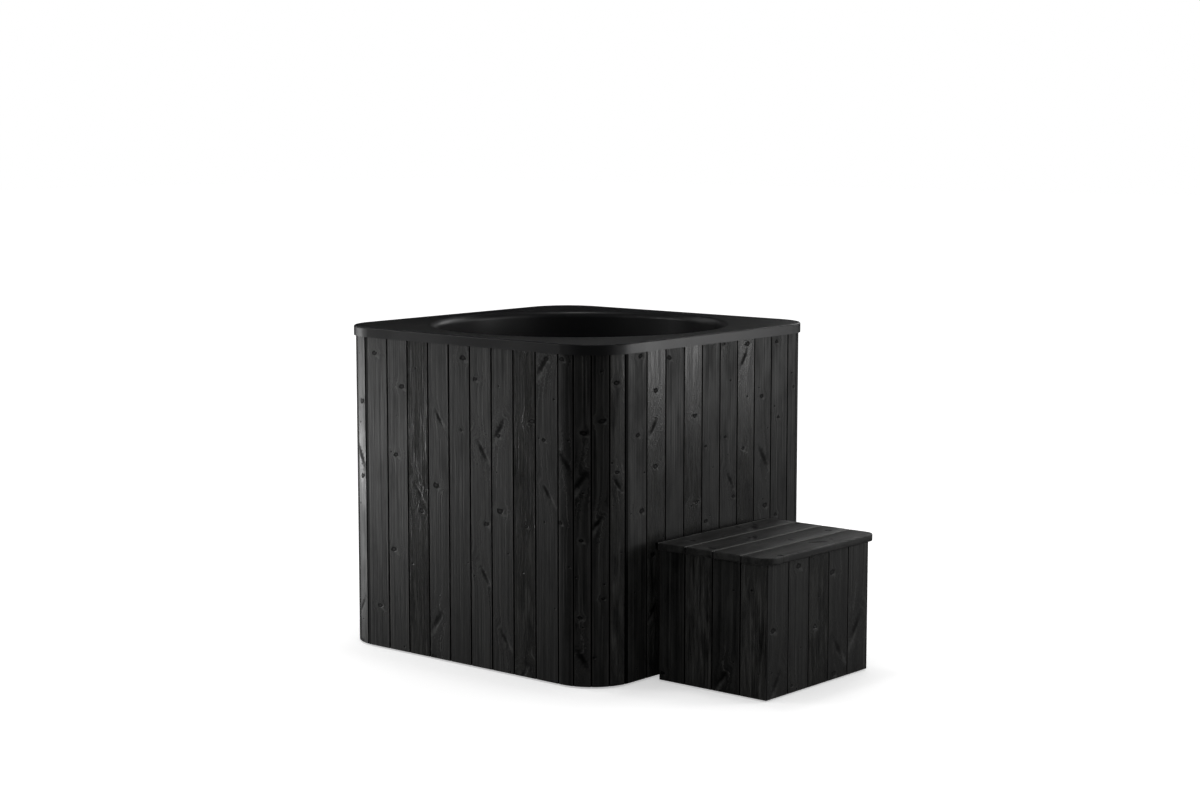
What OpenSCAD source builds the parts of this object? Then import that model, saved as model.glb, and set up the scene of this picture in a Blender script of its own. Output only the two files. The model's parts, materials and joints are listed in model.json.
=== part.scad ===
/* [Tub] */
// Width and depth over the outside of the cladding
tub_w = 1066; // [950:1:1300]
// Height of the rim above the floor
tub_h = 1000; // [800:1:1200]
// Outer radius of the cladding's upright corners
corner_r = 140; // [110:1:200]

/* [Moulded shell] */
// Wall of the moulded shell
shell_t = 5; // [3:0.5:8]
// Height of the apron that hides the top of the boards
apron_h = 30; // [20:1:60]
// Gap between the apron and the boards
apron_clear = 1; // [0.5:0.5:4]
// Radius of the rim's outer top edge
rim_edge_r = 4; // [1:0.5:8]
// Flat of the rim at its narrowest, from the cladding's face to the lip
rim_land = 61; // [50:1:100]
// Radius of the rolled lip round the bowl
lip_r = 20; // [10:1:30]
// Draft of the bowl's wall in degrees
bowl_draft = 1.7; // [0.5:0.1:5]
// Radius between the bowl's wall and its floor
bowl_floor_r = 90; // [40:1:150]

/* [Cladding] */
// Thickness of a cladding board
board_t = 16; // [14:0.5:22]
// Cover width of a board on the flat sides
board_w = 87; // [60:0.5:140]
// Width of a curved slat round a corner
slat_w = 53.3; // [40:0.1:70]
// Slats round each corner
slat_count = 4; // [3:1:5]
// Straight lead of the first slat before its corner
slat_lead = 11; // [4:1:30]
// Depth and half width of the V cut between boards
v_cut = 3; // [1:0.5:4]
// Length of a board's tongue
tongue_l = 6; // [4:0.5:9]
// Thickness of a board's tongue
tongue_t = 4.5; // [3:0.5:6]
// Play of a tongue in its groove, all round
tongue_play = 0.3; // [0.2:0.1:0.6]
// Gap between two boards at their joint
board_gap = 0.4; // [0.2:0.1:1]
// Gap between the boards' lower ends and the floor
cladding_lift = 5; // [3:1:20]
// Gap between the boards' upper ends and the rim
cladding_drop = 3; // [1:1:10]

/* [Frame and insulation] */
// Height of a base runner
runner_h = 45; // [30:1:70]
// Width of a base runner
runner_w = 70; // [45:1:95]
// Inset of the outer runners from the frame's edge
runner_inset = 100; // [60:1:160]
// Distance of the runners' ends from the frame's edge
runner_end = 16; // [5:1:60]
// Thickness of the floor panel
panel_t = 18; // [12:1:24]
// Thickness of a frame ring
ring_t = 21; // [15:1:30]
// Side of a corner post
post_w = 45; // [35:1:60]
// Land between a corner post and the ring's outer edge
post_land = 10; // [6:1:20]
// Thickness of the foam round the bowl, at the lip
wall_foam_t = 23; // [15:1:30]
// Play between the foam and the rings
ring_play = 2; // [1:0.5:5]
// Clearance between two pieces that fit together
fit = 0.3; // [0.1:0.1:0.5]
// Shank radius of a frame screw
screw_r = 2.5; // [2:0.5:4]
// Head radius of a frame screw
screw_head_r = 5; // [4.5:0.5:8]
// Length of a frame screw
screw_l = 60; // [45:1:90]
// Depth of a screw's head below the face
screw_sink = 0.5; // [0.2:0.1:1]

/* [Drain and valve] */
// Outer radius of the drain pipe
pipe_r = 20; // [16:0.5:25]
// Wall of the drain pipe and its fittings
pipe_t = 3; // [2:0.5:4]
// Gap between the drain pipe and the lower frame ring
pipe_gap = 1; // [0.5:0.5:10]
// Radius of the flange on the bowl's floor
flange_r = 45; // [40:1:60]
// Thickness of that flange
flange_t = 6; // [5:0.5:10]
// Depth of the recess that holds the grate
grate_t = 3; // [2:0.5:4]
// Number of slots in the grate
grate_slots = 8; // [6:1:10]
// Thickness of the rubber seal under the bowl
seal_t = 3; // [2:0.5:5]
// Height of the drain's backnut
nut_h = 14; // [10:1:20]
// Gap between the backnut and the elbow
nut_gap = 1; // [0.5:0.5:5]
// Land of the elbow's socket above its bend
elbow_land = 2; // [1:0.5:10]
// Depth of the elbow's upper socket
elbow_tail = 15; // [10:1:20]
// Reach of the elbow towards the pipe
elbow_reach = 60; // [50:1:80]
// Thickness of the collar on the rear boards
collar_t = 6; // [4:1:10]
// Gap between that collar and the valve
collar_gap = 6; // [3:1:20]
// Radius of the valve's ball
ball_r = 24; // [22:0.5:30]
// Running clearance of the valve's turning pieces
valve_play = 0.3; // [0.2:0.1:0.5]
// Radius of the valve's stem
stem_r = 6; // [5:0.5:7]
// Length of the lever from the stem's axis
lever_l = 115; // [90:1:150]
// Width of the lever
lever_w = 20; // [16:1:26]
// Thickness of the lever
lever_t = 4; // [3:0.5:6]
// Height that the lever's bend lifts its grip
lever_rise = 14; // [6:1:20]
// Length of the octagon at each end of the valve
wrench_l = 14; // [10:1:18]
// Chamfer of the nuts' corners
nut_chamfer = 1.2; // [0.5:0.1:2]
// Outer radius of the outlet's pipe thread
outlet_r = 16.6; // [13:0.1:16.8]
// Length of the outlet's pipe thread
outlet_l = 18; // [14:1:30]

/* [Step] */
// Width of the step's box
step_w = 507; // [400:1:700]
// Depth of the step's box
step_d = 387; // [300:1:500]
// Height of the step, floor to tread
step_h = 415; // [300:1:500]
// Gap between the tub's cladding and the step
step_gap = 37; // [5:1:80]
// Offset of the step from the tub's centre line
step_shift = -45.5; // [-150:0.5:150]
// Thickness of a tread board
tread_t = 21; // [18:1:30]
// Width of a tread board
tread_w = 95; // [70:1:120]
// Gap between tread boards
tread_gap = 5; // [3:0.5:8]
// Overhang of the tread past the box
tread_overhang = 20; // [10:1:40]
// Plan radius of the tread's two outer corners
tread_corner_r = 40; // [20:1:60]
// Radius of the tread's eased edges
tread_edge_r = 3; // [1:0.5:6]
// Thickness of the box's boards
step_board_t = 15; // [12:0.5:20]
// Cover width of the box's boards
step_board_w = 100; // [70:1:130]
// Depth of the V cut between the box's boards
step_v_cut = 2; // [1:0.5:3]
// Side of a post or rail in the box
batten_w = 38; // [28:1:45]
// Height of a rail in the box
rail_h = 45; // [35:1:70]
// Bite of a screw in a tread board
tread_bite = 14; // [8:1:17]
// Height of the lower rails above the floor
low_rail_z = 30; // [15:1:80]
// Thickness of a glide under the box
glide_t = 4; // [3:0.5:8]

/* [Hidden] */
$fn = 96;

// Overshoot of a cut past the face that it opens
cut = 1;

// Colours
BOARD = "#26241f";
SHELL = "#1c1d1e";
TIMBER = "#b48a56";
PLYWOOD = "#c8a878";
FOAM = "#d8d4c8";
STEEL = "#b8bbbd";
BRASS = "#c0a060";
PTFE = "#eeeeea";
RUBBER = "#202020";
PVC = "#8d9296";

// Plan of the tub
tub_half = tub_w / 2;
arc_c = tub_half - corner_r;
arc_l = PI / 2 * corner_r;
side_l = tub_w - 2 * corner_r;
rim_over = apron_clear + shell_t;
rim_w = tub_w + 2 * rim_over;
rim_r = corner_r + rim_over;
rim_under = tub_h - shell_t;
frame_w = tub_w - 2 * (board_t + fit);
frame_r = corner_r - board_t - fit;
frame_half = frame_w / 2;

// Boards round a quarter of the tub, as lengths along the cladding's face
slat_end = slat_count * slat_w - slat_lead;
quarter_end = arc_l + side_l - slat_lead;
board_count = floor((quarter_end - slat_end) / board_w);
first_board_w = quarter_end - slat_end - (board_count - 1) * board_w;
board_top = rim_under - cladding_drop;
tongue_d = (board_t + v_cut) / 2;

// Drain
HEXAGON = 6;
bore_r = pipe_r - pipe_t;
tail_wall = 5;
tail_r = bore_r + tail_wall;
nut_wall = 16;
nut_r = tail_r + nut_wall;
seal_inset = 2;
seal_r = nut_r - seal_inset;
flange_lip = 1.5;
flange_slope = 6;
flange_border = 13;
grate_r = flange_r - flange_border;
grate_hub_r = 12;
grate_border = 8;
slot_w = 5;
elbow_wall = 6;
elbow_r = tail_r + elbow_wall;
elbow_socket = 25;
pipe_start = elbow_reach - elbow_socket;
board_hole_play = 1.5;
board_hole_r = pipe_r + board_hole_play;
collar_w = 14;
collar_r = pipe_r + collar_w;
collar_top_w = 8;
collar_top_r = pipe_r + collar_top_w;

// Levels from the floor up
panel_z = runner_h;
lower_ring_z = panel_z + panel_t;
pipe_z = lower_ring_z + ring_t + pipe_gap + pipe_r;
elbow_top = pipe_z + elbow_r + elbow_land;
tail_end = elbow_top - elbow_tail;
nut_z = elbow_top + nut_gap;
bowl_under = nut_z + nut_h + seal_t;
bowl_floor = bowl_under + shell_t;
upper_ring_z = rim_under - ring_t;
middle_ring_z = (lower_ring_z + upper_ring_z) / 2;

// Bowl section
lip_c = tub_half - rim_land;
lip_z = tub_h - lip_r;
wall_top_r = lip_c - lip_r * cos(bowl_draft);
wall_top_z = lip_z + lip_r * sin(bowl_draft);
floor_c_z = bowl_floor + bowl_floor_r;
floor_c = wall_top_r - (wall_top_z - floor_c_z) * tan(bowl_draft)
    - bowl_floor_r / cos(bowl_draft);
rim_join_r = lip_c + lip_r / 2;
foam_r = lip_c - lip_r + shell_t + wall_foam_t;
ring_hole_r = foam_r + ring_play;

// Frame
runner_x = frame_half - runner_inset - runner_w / 2;
post_c = frame_half - frame_r + (frame_r - post_land) / sqrt(2) - post_w / 2;

// Valve, along Y behind the rear boards
valve_wall = 6;
seat_rim = 3;
cavity_r = ball_r + valve_play + seat_rim;
valve_r = cavity_r + valve_wall;
socket_wall = 5;
socket_r = pipe_r + socket_wall;
OCTAGON = 8;
shoulder_l = 4;
valve_y0 = tub_half + collar_t + collar_gap;
cavity_y0 = valve_y0 + wrench_l + valve_wall;
ball_y = cavity_y0 + ball_r;
cavity_y1 = ball_y + ball_r;
valve_y1 = cavity_y1 + valve_wall;
end_collar_t = 8;
outlet_y = valve_y1 + end_collar_t + outlet_l;
spigot_bore = outlet_r - pipe_t;
seat_l = 10;
stem_play = 0.075;
neck_wall = 8;
neck_r = stem_r + neck_wall;
neck_h = 12;
neck_top = pipe_z + valve_r + neck_h;
packing_h = 8;
lever_z = neck_top + packing_h + valve_play;
lever_nut_h = 6;
lever_nut_wall = 4;
thread_step = 2;
thread_r = stem_r - thread_step;
lever_nut_r = thread_r + lever_nut_wall;
thread_end = 2;
eye_rim = 3;
lever_eye_r = lever_w / 2 + eye_rim;
flat_depth = 1.5;
stem_flat = 2 * (stem_r - flat_depth);
blade_w = 6;
blade_h = 4;
ball_flat_depth = 3;
ball_flat = ball_r - ball_flat_depth;
BEND = 45;
bend_lead = 8;
bend_x0 = lever_eye_r + bend_lead;
bend_x1 = bend_x0 + lever_rise / tan(BEND);
bend_back = lever_t * tan(BEND / 2);
grip_gap = 4;
grip_l = lever_l - lever_w / 2 - bend_x1 - bend_back - grip_gap;
grip_t = 2;
grip_chamfer = 2;
grip_r = lever_w / 2 + grip_t + fit;
grip_h = lever_t + 2 * (grip_t + fit);

// Step
step_front = -(tub_half + step_gap + step_d);
step_back = -(tub_half + step_gap);
step_cy = (step_front + step_back) / 2;
box_top = step_h - tread_t;
tread_x = step_w / 2 + tread_overhang;
tread_d = step_d + tread_overhang;
tread_y0 = step_front - tread_overhang;
inner_x = step_w / 2 - step_board_t - fit;
inner_y = step_d / 2 - step_board_t - fit;
tread_screw_l = rail_h + tread_bite;
glide_inset = 3;
glide_r = batten_w / 2 - glide_inset;
TREAD_BOARDS = 4;

// A square with round corners, centred
module rounded_square(w, r) {
    square([w, w - 2 * r], center = true);
    square([w - 2 * r, w], center = true);
    for (x = [-1, 1], y = [-1, 1])
        translate([x * (w / 2 - r), y * (w / 2 - r)])
            circle(r);
}

// The waste outside a rounded edge, for an outer edge at x = 0 and a top at y = 0
module edge_waste(r) {
    difference() {
        translate([-r, -r])
            square(r + cut);
        translate([-r, -r])
            circle(r);
    }
}

// Edge waste along a straight run on X, with the body towards +Y
module edge_run(length, r) {
    rotate([90, 0, 90])
        linear_extrude(length)
            mirror([1, 0])
                edge_waste(r);
}

// Edge waste round a plan corner of radius plan_r, centred on its axis
module edge_corner(plan_r, r) {
    rotate_extrude(angle = 90)
        translate([plan_r, 0])
            edge_waste(r);
}

// Frame: runners, floor panel, rings and posts

module base_runner(x) {
    color(TIMBER)
        translate([x - runner_w / 2, runner_end - frame_half, 0])
            cube([runner_w, frame_w - 2 * runner_end, runner_h]);
}

module post_places() {
    for (a = [0 : 90 : 270])
        rotate([0, 0, a])
            translate([-post_c, -post_c, 0])
                children();
}

module floor_panel() {
    color(PLYWOOD)
        difference() {
            translate([0, 0, panel_z])
                linear_extrude(panel_t)
                    rounded_square(frame_w, frame_r);
            post_places()
                frame_screw_places()
                    screw_hole(screw_l);
        }
}

// A ring that the posts pass through
module notched_ring(z) {
    color(PLYWOOD)
        translate([0, 0, z])
            linear_extrude(ring_t)
                difference() {
                    rounded_square(frame_w, frame_r);
                    circle(ring_hole_r);
                    post_places()
                        square(post_w + 2 * fit, center = true);
                }
}

module upper_ring() {
    color(PLYWOOD)
        difference() {
            translate([0, 0, upper_ring_z])
                linear_extrude(ring_t)
                    difference() {
                        rounded_square(frame_w, frame_r);
                        circle(ring_hole_r);
                    }
            post_places()
                frame_screw_places()
                    screw_hole(screw_l);
        }
}

module corner_post(turn) {
    color(TIMBER)
        rotate([0, 0, turn])
            translate([-post_c, -post_c, 0])
                difference() {
                    translate([-post_w / 2, -post_w / 2, lower_ring_z])
                        cube([post_w, post_w, upper_ring_z - lower_ring_z]);
                    frame_screw_places()
                        screw_hole(screw_l);
                }
}

// A countersunk screw that points up from its head on z = 0
module screw(length, play = 0) {
    cylinder(h = length + play, r = screw_r + play);
    cylinder(h = screw_head_r - screw_r, r1 = screw_head_r + play, r2 = screw_r + play);
}

// The hole for a screw of that length, from the face on z = 0
module screw_hole(length) {
    translate([0, 0, screw_sink])
        screw(length - screw_sink, fit / 2);
    translate([0, 0, -cut])
        cylinder(h = screw_sink + cut, r = screw_head_r + fit / 2);
}

// The frame's screws go up through the floor panel and down through the upper ring
module frame_screw_places() {
    translate([0, 0, panel_z])
        children();
    translate([0, 0, rim_under])
        mirror([0, 0, 1])
            children();
}

module frame_screws() {
    color(STEEL)
        post_places()
            frame_screw_places()
                translate([0, 0, screw_sink])
                    screw(screw_l - screw_sink);
}

// Foam under and round the bowl

module base_insulation() {
    color(FOAM)
        difference() {
            translate([0, 0, lower_ring_z])
                cylinder(h = bowl_under - lower_ring_z, r = foam_r);
            translate([0, 0, pipe_z - elbow_r - fit])
                cylinder(h = bowl_under, r = nut_r + ring_play);
            translate([0, 0, pipe_z])
                rotate([-90, 0, 0])
                    cylinder(h = foam_r + cut, r = elbow_r + fit);
            translate([-elbow_r - fit, 0, pipe_z])
                cube([2 * (elbow_r + fit), foam_r + cut, bowl_under]);
        }
}

module wall_insulation() {
    color(FOAM)
        rotate_extrude()
            difference() {
                translate([floor_c, bowl_under])
                    square([foam_r - floor_c, upper_ring_z - bowl_under]);
                bowl_solid_section();
            }
}

// Outside of the bowl as a filled half section, up to the lip
module bowl_solid_section() {
    translate([floor_c, floor_c_z])
        circle(bowl_floor_r + shell_t);
    polygon([
        [0, bowl_under],
        [floor_c, bowl_under],
        wall_point(floor_c, floor_c_z, bowl_floor_r + shell_t),
        [wall_top_r + shell_t * cos(bowl_draft), wall_top_z - shell_t * sin(bowl_draft)],
        [0, wall_top_z]
    ]);
}

// Where the wall leaves the floor's radius r about the centre x, z
function wall_point(x, z, r) = [x + r * cos(bowl_draft), z - r * sin(bowl_draft)];

// A quarter band of the wall's thickness about a centre, between two directions
module band_section(r, a0, a1) {
    mid = (a0 + a1) / 2;
    reach = 2 * r;
    intersection() {
        difference() {
            circle(r);
            circle(r - shell_t);
        }
        polygon([
            [0, 0],
            [reach * cos(a0), reach * sin(a0)],
            [reach * cos(mid), reach * sin(mid)],
            [reach * cos(a1), reach * sin(a1)]
        ]);
    }
}

// Half section of the bowl with its lip
module bowl_section() {
    translate([0, bowl_under])
        square([floor_c, shell_t]);
    translate([floor_c, floor_c_z])
        band_section(bowl_floor_r + shell_t, -90, -bowl_draft);
    polygon([
        wall_point(floor_c, floor_c_z, bowl_floor_r),
        wall_point(floor_c, floor_c_z, bowl_floor_r + shell_t),
        [wall_top_r + shell_t * cos(bowl_draft), wall_top_z - shell_t * sin(bowl_draft)],
        [wall_top_r, wall_top_z]
    ]);
    translate([lip_c, lip_z])
        band_section(lip_r, 90, 180 - bowl_draft);
    translate([lip_c, rim_under])
        square([rim_join_r - lip_c, shell_t]);
}

// The flat rim with its apron, open in the middle for the bowl
module rim() {
    difference() {
        translate([0, 0, tub_h - apron_h])
            linear_extrude(apron_h)
                rounded_square(rim_w, rim_r);
        translate([0, 0, tub_h - apron_h - cut])
            linear_extrude(apron_h + cut - shell_t)
                rounded_square(rim_w - 2 * shell_t, rim_r - shell_t);
        cylinder(h = tub_h + cut, r = rim_join_r);
        translate([0, 0, tub_h])
            for (a = [0 : 90 : 270])
                rotate([0, 0, a]) {
                    translate([-arc_c, -rim_w / 2, 0])
                        edge_run(2 * arc_c, min(rim_edge_r, shell_t));
                    translate([arc_c, arc_c, 0])
                        edge_corner(rim_r, min(rim_edge_r, shell_t));
                }
    }
}

module tub_shell() {
    color(SHELL) {
        rim();
        difference() {
            rotate_extrude()
                bowl_section();
            translate([0, 0, bowl_under - cut])
                cylinder(h = shell_t + 2 * cut, r = tail_r + fit);
        }
    }
}

// Cladding. A place on it is a length u along its face and a depth d behind it.
// u starts where the left side meets the front left corner and runs to the right.

function face_point(u, d) =
    u < 0 ? [d - tub_half, -arc_c - u] :
    u > arc_l ? [u - arc_l - arc_c, d - tub_half] :
    let (a = 90 * u / arc_l)
        [-arc_c - (corner_r - d) * cos(a), -arc_c - (corner_r - d) * sin(a)];

// The cladding's plan between two depths
module face_band(d0, d1) {
    difference() {
        rounded_square(tub_w - 2 * d0, corner_r - d0);
        rounded_square(tub_w - 2 * d1, corner_r - d1);
    }
}

// The stretch of plan between two lengths along the face
module face_stretch(u0, u1) {
    outside = -corner_r / 2;
    inside = corner_r - board_t;
    polygon([
        face_point(u0, inside), face_point(u0, outside),
        face_point(u1, outside), face_point(u1, inside)
    ]);
}

// The V cut at a joint
module face_v(u) {
    polygon([
        face_point(u - v_cut - cut, -cut), face_point(u, v_cut),
        face_point(u + v_cut + cut, -cut)
    ]);
}

// A board that follows the face from u0 to u1, grooved at u0 and tongued at u1
module curved_board(u0, u1) {
    start = u0 + board_gap / 2;
    end = u1 - board_gap / 2;
    intersection() {
        face_band(tongue_d - tongue_t / 2, tongue_d + tongue_t / 2);
        face_stretch(end - tongue_l, end + tongue_l);
    }
    difference() {
        intersection() {
            face_band(0, board_t);
            face_stretch(start, end);
        }
        intersection() {
            face_band(tongue_d - tongue_t / 2 - tongue_play, tongue_d + tongue_t / 2 + tongue_play);
            face_stretch(start - cut, start + tongue_l + tongue_play);
        }
        face_v(u0);
        face_v(u1);
    }
}

// Section of a straight board from x0 to x1, its face on y = 0 and its back on +Y.
// An end is grooved, tongued, or mitred inwards at a box corner.
module board_section(x0, x1, t, v, start, end) {
    mid = (t + v) / 2;
    lo = mid - tongue_t / 2;
    hi = mid + tongue_t / 2;
    a = x0 + board_gap / 2;
    b = x1 - board_gap / 2;
    groove_l = tongue_l + tongue_play;
    polygon(concat(
        start == "mitre" ? [[x0, 0], [x0 + t, t]] : [
            [a + v, 0], [a, v],
            [a, lo - tongue_play], [a + groove_l, lo - tongue_play],
            [a + groove_l, hi + tongue_play], [a, hi + tongue_play], [a, t]
        ],
        end == "mitre" ? [[x1 - t, t], [x1, 0]] : [
            [b, t], [b, hi], [b + tongue_l, hi],
            [b + tongue_l, lo], [b, lo], [b, v], [b - v, 0]
        ]
    ));
}

// The flat boards of the front side; the first one starts on the corner
module side_boards() {
    color(BOARD)
        translate([0, 0, cladding_lift])
            linear_extrude(board_top - cladding_lift) {
                curved_board(slat_end, slat_end + first_board_w);
                translate([0, -tub_half])
                    for (i = [1 : board_count - 1]) {
                        x = slat_end + first_board_w + (i - 1) * board_w - arc_l - arc_c;
                        board_section(x, x + board_w, board_t, v_cut, "groove", "tongue");
                    }
            }
}

module cladding_side(turn) {
    rotate([0, 0, turn])
        side_boards();
}

module cladding_rear() {
    difference() {
        cladding_side(180);
        color(BOARD)
            along_pipe(tub_half - board_t - cut, tub_half + cut, board_hole_r);
    }
}

module corner_slats(turn) {
    color(BOARD)
        rotate([0, 0, turn])
            translate([0, 0, cladding_lift])
                linear_extrude(board_top - cladding_lift)
                    for (i = [0 : slat_count - 1])
                        curved_board(i * slat_w - slat_lead, (i + 1) * slat_w - slat_lead);
}

// Drain: flange and grate in the bowl, seal, backnut, elbow and pipe below it

module drain_flange() {
    color(STEEL)
        rotate_extrude()
            difference() {
                polygon([
                    [0, tail_end], [tail_r, tail_end], [tail_r, bowl_floor],
                    [flange_r, bowl_floor], [flange_r, bowl_floor + flange_lip],
                    [flange_r - flange_slope, bowl_floor + flange_t], [0, bowl_floor + flange_t]
                ]);
                translate([0, tail_end - cut])
                    square([bore_r, bowl_floor]);
                translate([0, bowl_floor + flange_t - grate_t])
                    square([grate_r + fit, grate_t + cut]);
            }
}

module drain_grate() {
    color(STEEL)
        translate([0, 0, bowl_floor + flange_t - grate_t])
            difference() {
                cylinder(h = grate_t, r = grate_r);
                for (i = [0 : grate_slots - 1])
                    rotate([0, 0, 360 * i / grate_slots])
                        translate([grate_hub_r, -slot_w / 2, -cut])
                            cube([grate_r - grate_border - grate_hub_r, slot_w, grate_t + 2 * cut]);
            }
}

module drain_seal() {
    color(RUBBER)
        translate([0, 0, bowl_under - seal_t])
            difference() {
                cylinder(h = seal_t, r = seal_r);
                translate([0, 0, -cut])
                    cylinder(h = seal_t + 2 * cut, r = tail_r + fit);
            }
}

// A prism for a wrench, chamfered at its upper corners; r reaches the corners
module wrench_prism(h, r, sides) {
    intersection() {
        cylinder(h = h, r = r, $fn = sides);
        cylinder(h = h, r1 = r - nut_chamfer + h, r2 = r - nut_chamfer);
    }
}

module drain_nut() {
    color(STEEL)
        translate([0, 0, nut_z])
            difference() {
                wrench_prism(nut_h, nut_r, HEXAGON);
                translate([0, 0, -cut])
                    cylinder(h = nut_h + 2 * cut, r = tail_r + fit / 2);
            }
}

module drain_elbow() {
    color(PVC)
        difference() {
            union() {
                translate([0, 0, pipe_z])
                    sphere(elbow_r);
                translate([0, 0, pipe_z])
                    cylinder(h = elbow_top - pipe_z, r = elbow_r);
                translate([0, 0, pipe_z])
                    rotate([-90, 0, 0])
                        cylinder(h = elbow_reach, r = elbow_r);
            }
            translate([0, 0, pipe_z])
                cylinder(h = elbow_top - pipe_z + cut, r = bore_r);
            translate([0, 0, tail_end])
                cylinder(h = elbow_tail + cut, r = tail_r + fit / 2);
            translate([0, 0, pipe_z])
                rotate([-90, 0, 0])
                    cylinder(h = elbow_reach + cut, r = bore_r);
            translate([0, pipe_start, pipe_z])
                rotate([-90, 0, 0])
                    cylinder(h = elbow_reach, r = pipe_r + fit / 2);
        }
}

module drain_pipe() {
    length = cavity_y0 - valve_wall - pipe_start;
    color(PVC)
        translate([0, pipe_start, pipe_z])
            rotate([-90, 0, 0])
                difference() {
                    cylinder(h = length, r = pipe_r);
                    translate([0, 0, -cut])
                        cylinder(h = length + 2 * cut, r = bore_r);
                }
}

module wall_collar() {
    color(SHELL)
        translate([0, tub_half, pipe_z])
            rotate([-90, 0, 0])
                difference() {
                    union() {
                        cylinder(h = collar_t / 2, r = collar_r);
                        translate([0, 0, collar_t / 2])
                            cylinder(h = collar_t / 2, r1 = collar_r, r2 = collar_top_r);
                    }
                    translate([0, 0, -cut])
                        cylinder(h = collar_t + 2 * cut, r = pipe_r + fit);
                }
}

// Ball valve behind the rear boards

// A cylinder along the valve's axis, between two places on Y
module along_pipe(y0, y1, r) {
    translate([0, y0, pipe_z])
        rotate([-90, 0, 0])
            cylinder(h = y1 - y0, r = r);
}

module valve_body() {
    color(BRASS)
        difference() {
            union() {
                translate([0, cavity_y0 - valve_wall, pipe_z]) {
                    rotate([90, 180 / OCTAGON, 0])
                        wrench_prism(wrench_l, socket_r / cos(180 / OCTAGON), OCTAGON);
                    rotate([-90, 0, 0])
                        cylinder(h = shoulder_l, r1 = socket_r, r2 = valve_r);
                }
                along_pipe(cavity_y0 - valve_wall + shoulder_l, valve_y1, valve_r);
                translate([0, ball_y, pipe_z])
                    cylinder(h = neck_top - pipe_z, r = neck_r);
            }
            along_pipe(valve_y0 - cut, cavity_y0 - valve_wall, pipe_r + fit / 2);
            along_pipe(valve_y0, valve_y1, bore_r);
            along_pipe(cavity_y0, valve_y1 + cut, cavity_r);
            translate([0, ball_y, pipe_z])
                cylinder(h = neck_top, r = stem_r + stem_play);
        }
}

module valve_seats() {
    color(PTFE)
        difference() {
            union() {
                along_pipe(cavity_y0, cavity_y0 + seat_l, cavity_r - fit / 2);
                along_pipe(cavity_y1 - seat_l, cavity_y1, cavity_r - fit / 2);
            }
            along_pipe(cavity_y0 - cut, cavity_y1 + cut, bore_r);
            translate([0, ball_y, pipe_z])
                sphere(ball_r + valve_play);
        }
}

module valve_end() {
    color(BRASS)
        difference() {
            union() {
                along_pipe(cavity_y1, valve_y1, cavity_r - fit / 2);
                translate([0, valve_y1, pipe_z])
                    rotate([-90, 180 / OCTAGON, 0])
                        wrench_prism(end_collar_t, valve_r, OCTAGON);
                along_pipe(valve_y1, outlet_y, outlet_r);
            }
            along_pipe(cavity_y1 - cut, outlet_y + cut, spigot_bore);
        }
}

module packing_nut() {
    color(BRASS)
        translate([0, ball_y, neck_top])
            difference() {
                wrench_prism(packing_h, neck_r, HEXAGON);
                translate([0, 0, -cut])
                    cylinder(h = packing_h + 2 * cut, r = stem_r + valve_play);
            }
}

module valve_ball() {
    color(STEEL)
        translate([0, ball_y, pipe_z])
            difference() {
                intersection() {
                    sphere(ball_r);
                    translate([-ball_r, -ball_r, -ball_r])
                        cube([2 * ball_r, 2 * ball_r, ball_r + ball_flat]);
                }
                rotate([0, 90, 0])
                    cylinder(h = 2 * (ball_r + cut), r = bore_r - fit, center = true);
                translate([-blade_w / 2, -ball_r, ball_flat - blade_h])
                    cube([blade_w, 2 * ball_r, ball_r]);
            }
}

module valve_stem() {
    color(STEEL)
        translate([0, ball_y, 0]) {
            intersection() {
                translate([0, 0, pipe_z + ball_flat - blade_h])
                    cylinder(h = blade_h, r = stem_r);
                translate([fit - blade_w / 2, -stem_r, 0])
                    cube([blade_w - 2 * fit, 2 * stem_r, neck_top]);
            }
            translate([0, 0, pipe_z + ball_flat])
                cylinder(h = lever_z - pipe_z - ball_flat, r = stem_r);
            translate([0, 0, lever_z])
                intersection() {
                    cylinder(h = lever_t, r = stem_r);
                    translate([-stem_r, -stem_flat / 2, 0])
                        cube([2 * stem_r, stem_flat, lever_t]);
                }
            translate([0, 0, lever_z + lever_t])
                cylinder(h = lever_nut_h + thread_end, r = thread_r);
        }
}

// Plan of the lever, pointing along +X, at its own scale
module lever_plan() {
    circle(lever_eye_r);
    translate([0, -lever_w / 2])
        square([lever_l - lever_w / 2, lever_w]);
    translate([lever_l - lever_w / 2, 0])
        circle(lever_w / 2);
}

// Side of the lever, which rises at its bend
module lever_side() {
    far = lever_l + cut;
    top = lever_rise + lever_t;
    polygon([
        [-lever_w, 0], [bend_x0 + bend_back, 0], [bend_x1 + bend_back, lever_rise], [far, lever_rise],
        [far, top], [bend_x1, top], [bend_x0, lever_t], [-lever_w, lever_t]
    ]);
}

module valve_lever() {
    color(STEEL)
        translate([0, ball_y, lever_z])
            difference() {
                intersection() {
                    linear_extrude(lever_rise + lever_t)
                        lever_plan();
                    translate([0, lever_w, 0])
                        rotate([90, 0, 0])
                            linear_extrude(2 * lever_w)
                                lever_side();
                }
                translate([0, 0, -cut])
                    linear_extrude(lever_t + 2 * cut)
                        intersection() {
                            circle(stem_r + fit / 2);
                            square([2 * (stem_r + fit), stem_flat + fit], center = true);
                        }
            }
}

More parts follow.
